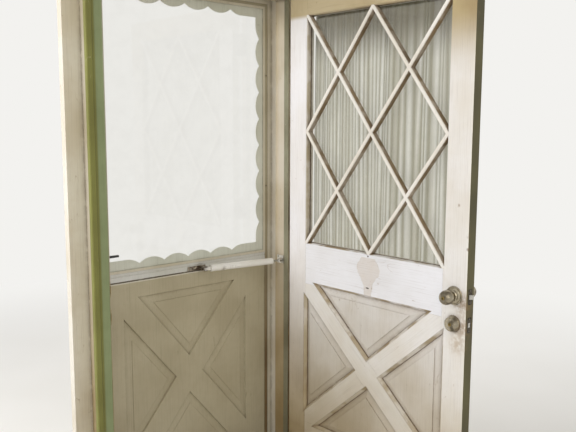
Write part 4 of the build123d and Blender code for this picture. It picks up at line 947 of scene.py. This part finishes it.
@dataclass
class EntryDoor:
    """The painted wooden leaf with its cross-buck panels, lattice window, locks and curtain."""

    # Painted shade, with some dirt and old paint, in the mouldings, and clean paint again on the
    # side that is turned away
    SHADE_AND_DIRT_IN_MOULDINGS = (
        CoatAndPaintedLight("X", 0.4092, 0.0012, "#B0A085", "#917D5D", gaps=0.75),
        CoatAndPaintedLight("X", 0.4400, 0.0030, "#F0EDEA", "#E7E1D8"),
    )
    # Painted shade in tan at the leaf's foot, and a painted shadow in tan at its head
    FOOT_SHADE = CoatAndPaintedLight("Z", 0.42, -0.42, "#CDC2AA", "#BDAE8E")
    HEAD_SHADOW = CoatAndPaintedLight("Z", 1.982, 0.012, "#C6B694", "#B5A27C")

    panels: tuple[str, ...] = ("panel_top", "panel_bottom", "panel_hinge_side", "panel_lock_side")

    def paint(self, name: str, grain: Grain, *nodes: str, kind: type[AgedPaint] = AgedPaint,
              **changes: Any) -> None:
        """Puts the door's cream paint on some of its pieces, brushed along one direction.

        Args:
            name: what the finish is on.
            grain: the way it was brushed.
            nodes: the pieces, if the name isn't the only one.
            kind: plain paint, or paint with a print.
            changes: fields of the paint that differ on these pieces.
        """
        settings = {
            "fresh": "#F0EDEA",
            "faded": "#E7E1D8",
            "grime": "#65492C",
            "bare": "#94795A",
            "grain": grain,
            "foot_share": 0.35,
            # By default the pieces take painted shade in their mouldings and at their foot
            "coats": self.SHADE_AND_DIRT_IN_MOULDINGS + (self.FOOT_SHADE,),
        }
        kind(f"cream_paint_on_{name}", **{**settings, **changes}).put_on(*(nodes or (name,)))

    def stiles(self) -> None:
        """Paints the two stiles, which carry painted shadow and shade at the head and the foot and
        a painted highlight on the lock stile's arris, and are stained by hands at the locks.
        """
        # Painted shade in the hinge stile's sticking and towards its foot
        sticking_shade = CoatAndPaintedLight("X", 0.4092, 0.0012, "#C9BFA9", "#B3A689", gaps=0.4)
        corner = CoatAndPaintedLight("Z", 0.62, -0.5, "#BBAA88", "#A08C66")
        self.paint("hinge_stile", Grain.UPRIGHT, fresh="#F6F4F6", faded="#EFEBE9",
                   coats=(sticking_shade, self.SHADE_AND_DIRT_IN_MOULDINGS[1], self.HEAD_SHADOW, corner))
        # A painted highlight along the lock stile's arris, and painted shade at its head
        arris_highlight = CoatAndPaintedLight("Y", -0.9190, -0.0012, "#FBF7EE", "#F4EDE0")
        painted_shade = CoatAndPaintedLight("Z", 1.815, 0.13, "#B8A57C", "#A5906A")
        edge = CoatAndPaintedLight("Y", -0.9222, -0.0003, "#5E5931", "#4C4725")
        marks = (
            Mark(tuple(at_rest(-442.0, 44.5, 925.0)), 0.06, "#96764C", 0.8),
            Mark(tuple(at_rest(-440.0, 44.5, 838.0)), 0.07, "#96764C", 0.7),
            Mark(tuple(at_rest(-425.0, 44.5, 770.0)), 0.05, "#A98C62", 0.5),
            Mark((0.407, -0.878, 1.268), 0.009, "#8C6E49", 0.9),
            Mark((0.407, -0.9215, 1.165), 0.012, "#7D6240", 0.9),
            Mark((0.407, -0.9215, 1.118), 0.009, "#7D6240", 0.9),
        )
        self.paint("lock_stile", Grain.UPRIGHT, marks=marks,
                   coats=self.SHADE_AND_DIRT_IN_MOULDINGS + (arris_highlight, painted_shade, self.FOOT_SHADE, edge))

    def build(self) -> None:
        """Puts the paint on every wooden piece of the leaf and the glass in its window."""
        self.stiles()
        self.paint("top_rail", Grain.ALONG_Y, coats=self.SHADE_AND_DIRT_IN_MOULDINGS + (self.HEAD_SHADOW,))
        self.paint("bottom_rail", Grain.ALONG_Y)
        self.paint("lock_rail", Grain.ALONG_Y, kind=PrintedPaint,
                   fresh="#F5F5FA", faded="#EEEDF0")
        self.paint("long_brace", Grain.LONG_BRACE)
        self.paint("short_braces", Grain.SHORT_BRACE, "upper_brace", "lower_brace")
        # Painted shade on the lower part of the panels
        low = CoatAndPaintedLight("Z", 0.50, -0.42, "#BFB298", "#AC9C7C")
        self.paint("panels", Grain.UPRIGHT, *self.panels,
                   fresh="#E2DEDA", faded="#D5CEC4", grime_share=0.95, coats=(low,))
        # Painted shade, with some dirt, on the sides of the lattice bars
        shaded_sides = CoatAndPaintedLight("X", 0.4106, 0.0013, "#8A7557", "#6A573B", gaps=0.25)
        self.paint("bars", Grain.UPRIGHT, "lattice_bars", fresh="#F6F2EC", faded="#EDE6DB",
                   chip_share=0.3, corners=Corners(10.0, 0.1, 0.75), coats=(shaded_sides,))
        self.paint("beads", Grain.UPRIGHT, "glazing_beads", chip_share=0.3, coats=())
        WindowGlass("old_window_glass", "#F8F8F6", "#B9B7A2",
                    dust_share=0.035, shine=0.95).put_on("glass_pane")


@dataclass
class Curtain:
    """A sheer sash curtain, shirred on a rod at its head and another at its foot.

    The cloth runs down between the rods on their window side. At each end it turns back over the
    rod to a line of stitching, so that the rod lies in a pocket with a ruffle beyond it. All sizes
    are in millimetres, in the closed door's directions. The pocket is a list of heights from the
    rod, places out of the room from it and depths of the folds.
    """

    width: float = 736.0
    rod_y: float = -26.0
    head_rod: float = 1997.0
    foot_rod: float = 979.0
    below_pocket: float = 4.0
    hang: float = 10.3
    depth: float = 9.0
    folds: int = 36
    columns: int = 608
    rows: int = 60
    seed: int = 11
    fold_widths: tuple[float, float] = (0.25, 1.9)
    wide_third: float = 1.7
    fullness: tuple[float, float] = (0.45, 1.0)
    soft_columns: int = 6
    second_wave: float = 0.22
    highest: float = 1.15
    lean: float = 0.1
    pocket: tuple[Point, ...] = (
        (-15.0, 4.6, 1.2), (-10.5, 0.2, 1.1), (-6.5, -4.6, 1.0), (-2.5, -6.2, 0.9),
        (2.5, -6.2, 0.9), (6.5, -4.0, 1.1), (10.0, -1.2, 1.4), (15.0, -1.0, 2.2),
        (21.3, -0.8, 2.8), (22.0, 0.0, 2.9), (21.3, 0.8, 2.8), (15.0, 1.0, 2.2), (10.0, 1.2, 1.4),
        (6.5, 4.0, 1.1), (2.5, 6.2, 0.9), (-2.5, 6.4, 0.9), (-6.5, 6.4, 1.1), (-10.5, 6.4, 1.3))

    def path(self) -> list[tuple[float, float, float, float]]:
        """The cloth's run from the stitching at the head to the stitching at the foot.

        Returns:
            For each row its height, how far it lies out of the room from the rods' middle, how
            deep its folds are, and its place from the head, 0, to the foot, 1.
        """
        rows = [(self.head_rod + z, out, size, 0.0) for z, out, size in self.pocket]
        last_z, last_out, last_size = self.pocket[-1]
        high = self.head_rod + last_z - self.below_pocket
        low = self.foot_rod - last_z + self.below_pocket
        for row in range(self.rows + 1):
            down = row / self.rows
            ease = math.sin(math.pi * down) ** 0.45 if 0 < down < 1 else 0.0
            out = last_out + (self.hang - last_out) * ease
            size = last_size + (self.depth / 2 - last_size) * ease
            rows.append((high + down * (low - high), out, size, down))
        foot = reversed(self.pocket)
        return rows + [(self.foot_rod - z, out, size, 1.0) for z, out, size in foot]

    def gathers(self, share: np.ndarray,
                drawn: np.random.Generator) -> tuple[np.ndarray, np.ndarray]:
        """One chance arrangement of the folds, wider over the first third.

        Args:
            share: how far along the cloth each column is, 0 to 1.
            drawn: the seeded source of chance.

        Returns:
            Each column's turn through the folds, in radians, and how full the fold there is.
        """
        widths = drawn.uniform(*self.fold_widths, self.folds)
        widths[:self.folds // 3] *= self.wide_third
        ends = np.concatenate([[0.0], np.cumsum(widths)]) / widths.sum()
        turn = np.interp(share, ends, 2 * math.pi * np.arange(self.folds + 1))
        middles = (ends[1:] + ends[:-1]) / 2
        full = np.interp(share, middles, drawn.uniform(*self.fullness, self.folds))
        edge = self.soft_columns
        soft = np.hanning(2 * edge + 1)
        turn[edge:-edge] = np.convolve(turn, soft / soft.sum(), mode="valid")
        return turn, full

    def surface(self) -> tuple[np.ndarray, list[float]]:
        """The folded cloth as a grid of places.

        Returns:
            The places by row and column, and for each how high it stands on its fold, 0 to 1.
        """
        drawn = np.random.default_rng(self.seed)
        share = np.linspace(0.0, 1.0, self.columns + 1)
        above, full_above = self.gathers(share, drawn)
        below, full_below = self.gathers(share, drawn)
        grid = []
        crests = []
        for z, out, size, down in self.path():
            turn = above + 0.5 * down * (below - above)
            full = full_above + down * (full_below - full_above)
            wave = np.sin(turn) + self.second_wave * np.sin(2 * turn + 0.8 + 0.5 * down)
            bulge = wave / self.highest * full
            lean = np.sin(2 * turn) * self.lean * self.width / self.folds * full
            lean = lean * min(1.0, size / 3)
            across = (share - 0.5) * self.width + lean
            level = np.full_like(across, z)
            grid.append(np.column_stack([across, self.rod_y + out + bulge * size, level]))
            crests += list(0.5 + 0.5 * bulge)
        return np.array(grid), crests

    def build(self) -> None:
        places, crests = self.surface()
        flat_width = float(np.linalg.norm(np.diff(places, axis=1), axis=2).sum(axis=1).mean())
        steps = np.linalg.norm(np.diff(places, axis=0), axis=2).mean(axis=1)
        along = np.concatenate([[0.0], np.cumsum(steps)])
        stride = self.columns + 1
        corners = [row * stride + column for row in range(len(places) - 1)
                   for column in range(self.columns)]
        mesh = bpy.data.meshes.new("sheer_curtain")
        points = [tuple(at_rest(*place)) for place in places.reshape(-1, 3)]
        mesh.from_pydata(points, [], [(c, c + 1, c + stride + 1, c + stride) for c in corners])
        layer = mesh.uv_layers.new(name="cloth")
        for loop in mesh.loops:
            row, column = divmod(loop.vertex_index, stride)
            layer.data[loop.index].uv = (column / self.columns * flat_width * MM, along[row] * MM)
        mesh.attributes.new("crest", "FLOAT", "POINT").data.foreach_set("value", crests)
        mesh.shade_smooth()
        # The last two colours are painted shade, in the fold valleys and along the top
        sheer = SheerCloth("sheer_woven_cloth", "#FFFFFD", "#D0CDC0", "#A39F8B", "#564C2E")
        mesh.materials.append(sheer.build())
        cloth = bpy.data.objects.new("sheer_curtain", mesh)
        bpy.context.scene.collection.objects.link(cloth)
        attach(cloth, "entry_door")
        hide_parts("curtain")
        log.info("curtain: flat %.0f by %.0f mm", flat_width, along[-1])


@dataclass
class LockSet:
    """The keyed knob, the deadbolt, their faceplates and bolts."""

    def build(self) -> None:
        """Puts metal on every piece of the locks."""
        WornMetal("aged_nickel", "#ABA28E", "#3F3528", roughness=0.15, tarnish_share=0.75,
                  clouded=Patches(30.0, 4.0, 0.42, 0.72)).put_on(
            "outside_knob", "inside_knob", "knob_roses", "deadbolt_collars", "thumb_turn")
        WornMetal("old_brass", "#A08A58", "#54452C", roughness=0.33, tarnish_share=0.7).put_on(
            "knob_key_plug", "deadbolt_plug", "strike_plates", "door_hinge_leaves",
            "jamb_hinge_leaves", "hinge_pins")
        WornMetal("bright_bolt_steel", "#C4C2BB", "#837B6C", roughness=0.22,
                  tarnish_share=0.35).put_on("latch_bolt", "deadbolt", "storm_latch_bolt")
        WornMetal("dark_faceplate_steel", "#5B5448", "#2E2922", roughness=0.45,
                  tarnish_share=0.8).put_on("latch_case", "deadbolt_case")


@dataclass
class Frame:
    """The jambs, stops, casings, sill and weatherstrip."""

    dirt: str = "#5A4329"
    bare: str = "#8E7654"

    def build(self) -> None:
        """Puts paint, metal and wood on the frame."""
        # Painted shade low on the jambs and the stops
        low = CoatAndPaintedLight("Z", 0.80, -0.60, "#BBA780", "#A68F66")
        AgedPaint("cream_paint_on_jambs", "#DAD2C2", "#CBC0A8", self.dirt, self.bare, coats=(low,),
                  grime_share=0.85, foot_share=0.3).put_on("hinge_jamb", "strike_jamb", "head_jamb")
        # A painted highlight on the stops' face, on the side towards the door
        stop_highlight = CoatAndPaintedLight("Y", 0.114, -0.012, "#DAD1C1", "#CBBFA8")
        AgedPaint("cream_paint_on_stops", "#D2C5AE", "#C3B496", self.dirt, self.bare,
                  coats=(stop_highlight, low), grime_share=0.85, foot_share=0.3,
                  chip_share=0.7).put_on("door_stops")
        # Painted shade on the casings' outer rims
        shaded_rims = tuple(CoatAndPaintedLight("X", side * 0.499, side * 0.004, "#7F7F3E", "#706E31")
                     for side in (-1, 1))
        AgedPaint("green_paint_on_casings", "#8F9A70", "#818C62", "#4E5029", "#C2BC97",
                  coats=shaded_rims).put_on("inside_casings")
        AgedPaint("white_paint_outside", "#E4DFD3", "#D6CDBB", "#77644A",
                  "#9A8462").put_on("outside_casings")
        WeatheredWood("worn_sill_wood", "#A08A6C", "#5B4933", "#8F8C80").put_on("sill")
        AgedPaint("grey_paint_on_spring_strip", "#99967F", "#7D7962", "#3A3222", "#B8A578",
                  brush_depth=0.03, chip_share=0.8).put_on("weatherstrips")
        WornMetal("scuffed_aluminium", "#B5B0A4", "#7A7365", Grain.ALONG_X,
                  roughness=0.38).put_on("threshold")


@dataclass
class StormDoor:
    """The aluminium storm door with its window, scalloped trim, latch and closer."""

    dirt: str = "#5F5238"
    scuff: str = "#8F8368"

    def enamel(self, name: str, fresh: str, faded: str, *nodes: str, **changes: Any) -> None:
        """Puts baked enamel on pieces: no brush marks, dull with chalk, brown in the corners,
        partly dirt and partly painted shade.

        Args:
            name: the finish's name.
            fresh: its clean colour.
            faded: its chalked colour.
            nodes: the pieces.
            changes: fields of the paint that differ on these pieces.
        """
        settings = {"brush_depth": 0.03, "chip_share": 0.35, "roughness": 0.38, **changes}
        AgedPaint(name, fresh, faded, self.dirt, self.scuff, **settings).put_on(*nodes)

    def leaf(self) -> None:
        """Dresses the stiles, rails, panel, window and trim."""
        # Painted shade: the stiles, the top rail and the lower panel are white enamel drawn in
        # khaki
        self.enamel("white_enamel_with_painted_shade_on_stiles", "#B8B096", "#A79D82", "storm_latch_stile",
                    "storm_top_rail", grime_share=0.9)
        self.enamel("grey_enamel_on_middle_rail", "#DEDEDA", "#D0CFC6", "storm_middle_rail",
                    grime_share=0.9)
        # Painted shade, dark brown, low on the storm door's hinge stile
        painted_shade = CoatAndPaintedLight("Z", 0.85, -0.55, "#86704D", "#6E583A")
        self.enamel("white_enamel_with_painted_shade_on_hinge_stile", "#B8B096", "#A79D82", "storm_hinge_stile",
                    coats=(painted_shade,))
        self.enamel("cream_enamel_on_window_frame", "#DAD4C2", "#C9C1AA", "storm_window_frame")
        self.enamel("white_enamel_on_trim", "#DDDFD3", "#CDCFC0", "window_scallops")
        self.enamel("white_enamel_on_bars", "#D5CFBE", "#C3BAA2", "storm_bars",
                    "storm_hinge_leaves")
        # A painted highlight along the lower panel's top edge
        lip_highlight = CoatAndPaintedLight("Z", 0.9135, 0.001, "#DDD8CA", "#CFC8B5")
        self.enamel("white_enamel_with_painted_shade_on_panel", "#BFB69B", "#B2A88C", "storm_lower_panel",
                    grime_share=0.95, coats=(lip_highlight,))
        WindowGlass("storm_window_glass", "#FBFBFA", "#C9C8BC",
                    dust_share=0.018, shine=1.0).put_on("storm_glass")
        MouldedPlastic("grey_vinyl_sweep", "#6E6C66", "#9A9588").put_on("storm_sweep")

    def hardware(self) -> None:
        """Dresses the latch, the closer, which rusts at its ends, and the curtain's rods."""
        MouldedPlastic("black_moulded_plastic", "#22211F", "#5A564D", roughness=0.35).put_on(
            "storm_latch_set", "storm_lever", "storm_button")
        rust = (
            Mark((0.048, 0.150, 0.936), 0.034, "#4A3320", 1.0),
            Mark((0.140, 0.120, 0.928), 0.016, "#5A4228", 0.8),
            Mark((0.430, 0.080, 0.940), 0.022, "#6A4E2E", 0.9),
        )
        self.enamel("white_enamel_on_closer", "#F0EEE8", "#E4E0D5", "closer_tube",
                    "closer_jamb_bracket", marks=rust, roughness=0.3)
        spot = Mark((0.050, 0.155, 0.933), 0.11, "#3B291A", 1.0)
        self.enamel("rusted_enamel_on_bracket", "#D9D3C4", "#A39478", "closer_door_bracket",
                    marks=(spot, spot), chip_share=0.9)
        WornMetal("plated_rod_steel", "#C2C0BA", "#8C867A", roughness=0.2).put_on("closer_rod")
        self.enamel("white_enamel_on_rods", "#E2DFD5", "#D2CDBD", "curtain_rods")

    def build(self) -> None:
        """Puts enamel, glass and plastic on the storm door."""
        self.leaf()
        self.hardware()


@dataclass(frozen=True)
class Lamp:
    """One square soft lamp: its place, aim and side in metres and its power in watts."""

    name: str
    place: Point
    aim: Point
    side: float
    power: float
    colour: str
    mirrored: bool = False

    def hang(self) -> None:
        """Adds the lamp. Glass and metal show it only if it is mirrored."""
        light = bpy.data.lights.new(self.name, "AREA")
        light.shape = "SQUARE"
        light.size = self.side
        light.energy = self.power
        light.color = linear(self.colour)[:3]
        lamp = bpy.data.objects.new(self.name, light)
        lamp.visible_glossy = self.mirrored
        lamp.location = self.place
        direction = Vector(self.aim) - Vector(self.place)
        lamp.rotation_mode = "QUATERNION"
        lamp.rotation_quaternion = direction.to_track_quat("-Z", "Y")
        bpy.context.scene.collection.objects.link(lamp)


@dataclass
class Studio:
    """A pale floor, soft lamps and the camera."""

    LAMPS = (
        Lamp("window_side", (-2.7, 1.9, 2.3), (0.4, -0.3, 1.4), 1.7, 62.0, "#FCFCFF"),
        Lamp("leaf_side", (-3.2, -0.3, 2.3), (0.4, -0.4, 1.2), 2.2, 36.0, "#FFFFFF"),
        Lamp("room_side", (-1.4, -3.8, 2.8), (0.2, 0.0, 1.1), 3.0, 30.0, "#FFF8EE", mirrored=True),
        Lamp("far_side", (3.2, 1.6, 2.6), (0.0, 0.0, 1.1), 2.6, 45.0, "#FFFFFF", mirrored=True),
    )

    eye: Point = (-1.6756, -2.3033, 1.549)
    yaw_deg: float = 42.07
    pitch_deg: float = 7.44
    roll_deg: float = 0.22
    focal_px: float = 713.5
    frame_px: float = 576.0
    sensor_mm: float = 36.0
    backdrop: str = "#F3F2EF"
    sky: str = "#F4F3F0"
    sky_strength: float = 0.55
    floor_size: float = 60.0
    floor_fade: tuple[float, float] = (1.3, 4.5)
    floor_tone: Patches = Patches(900.0, 2.0, 0.3, 0.7)

    def floor(self) -> None:
        """Adds the floor under the sill, which fades to the backdrop's colour further off."""
        clear_selection()
        bpy.ops.mesh.primitive_plane_add(size=self.floor_size, location=(0, 0, 0))
        floor = bpy.context.object
        floor.name = "studio_floor"
        sketch = Sketch("pale_floor")
        soft = sketch.laid("#F1EFEB", "#EDEBE6", sketch.patches(self.floor_tone))
        near = sketch.add("BsdfPrincipled", {"Base Color": soft, "Roughness": 0.8})
        far = sketch.add("Emission", {"Color": self.backdrop})
        away = sketch.distance_to((0.0, 0.0, 0.0)).eased(*self.floor_fade)
        faded = away * seen_directly(sketch.tree)
        floor.data.materials.append(sketch.finish("MixShader", {0: faded, 1: near, 2: far}))

    def world(self) -> None:
        """Sets an even pale sky that is white to the camera, to metal and through glass."""
        world = bpy.data.worlds.new("soft_sky")
        bpy.context.scene.world = world
        world.use_nodes = True
        tree = world.node_tree
        tree.nodes.clear()
        dim = add_node(tree, "Background", {"Color": self.sky, "Strength": self.sky_strength})
        white = add_node(tree, "Background", {"Color": self.backdrop, "Strength": 1.0})
        both = {0: seen_directly(tree), 1: dim.outputs[0], 2: white.outputs[0]}
        shader = add_node(tree, "MixShader", both).outputs[0]
        add_node(tree, "OutputWorld", {"Surface": shader})

    def camera(self) -> None:
        """Adds the camera at the photograph's angle."""
        yaw, pitch, roll = (math.radians(a) for a in (self.yaw_deg, self.pitch_deg, self.roll_deg))
        turn = (Matrix.Rotation(-yaw, 4, "Z") @ Matrix.Rotation(math.pi / 2 - pitch, 4, "X")
                @ Matrix.Rotation(roll, 4, "Z"))
        data = bpy.data.cameras.new("eye")
        data.sensor_width = self.sensor_mm
        data.lens = self.focal_px / self.frame_px * self.sensor_mm
        camera = bpy.data.objects.new("eye", data)
        camera.matrix_world = Matrix.Translation(Vector(self.eye)) @ turn
        bpy.context.scene.collection.objects.link(camera)
        bpy.context.scene.camera = camera

    def build(self) -> None:
        """Sets the whole studio."""
        self.camera()
        self.floor()
        self.world()
        for lamp in self.LAMPS:
            lamp.hang()
        bpy.context.scene.view_settings.view_transform = "Standard"


def main() -> None:
    """Builds the studio, dresses every piece and adds what the solids leave out."""
    logging.basicConfig(level=logging.INFO)
    for part in (Studio(), EntryDoor(), Curtain(), LockSet(), Frame(), StormDoor(), Fixings()):
        part.build()
        log.info("%s done", type(part).__name__)


if __name__ == "__main__":
    main()
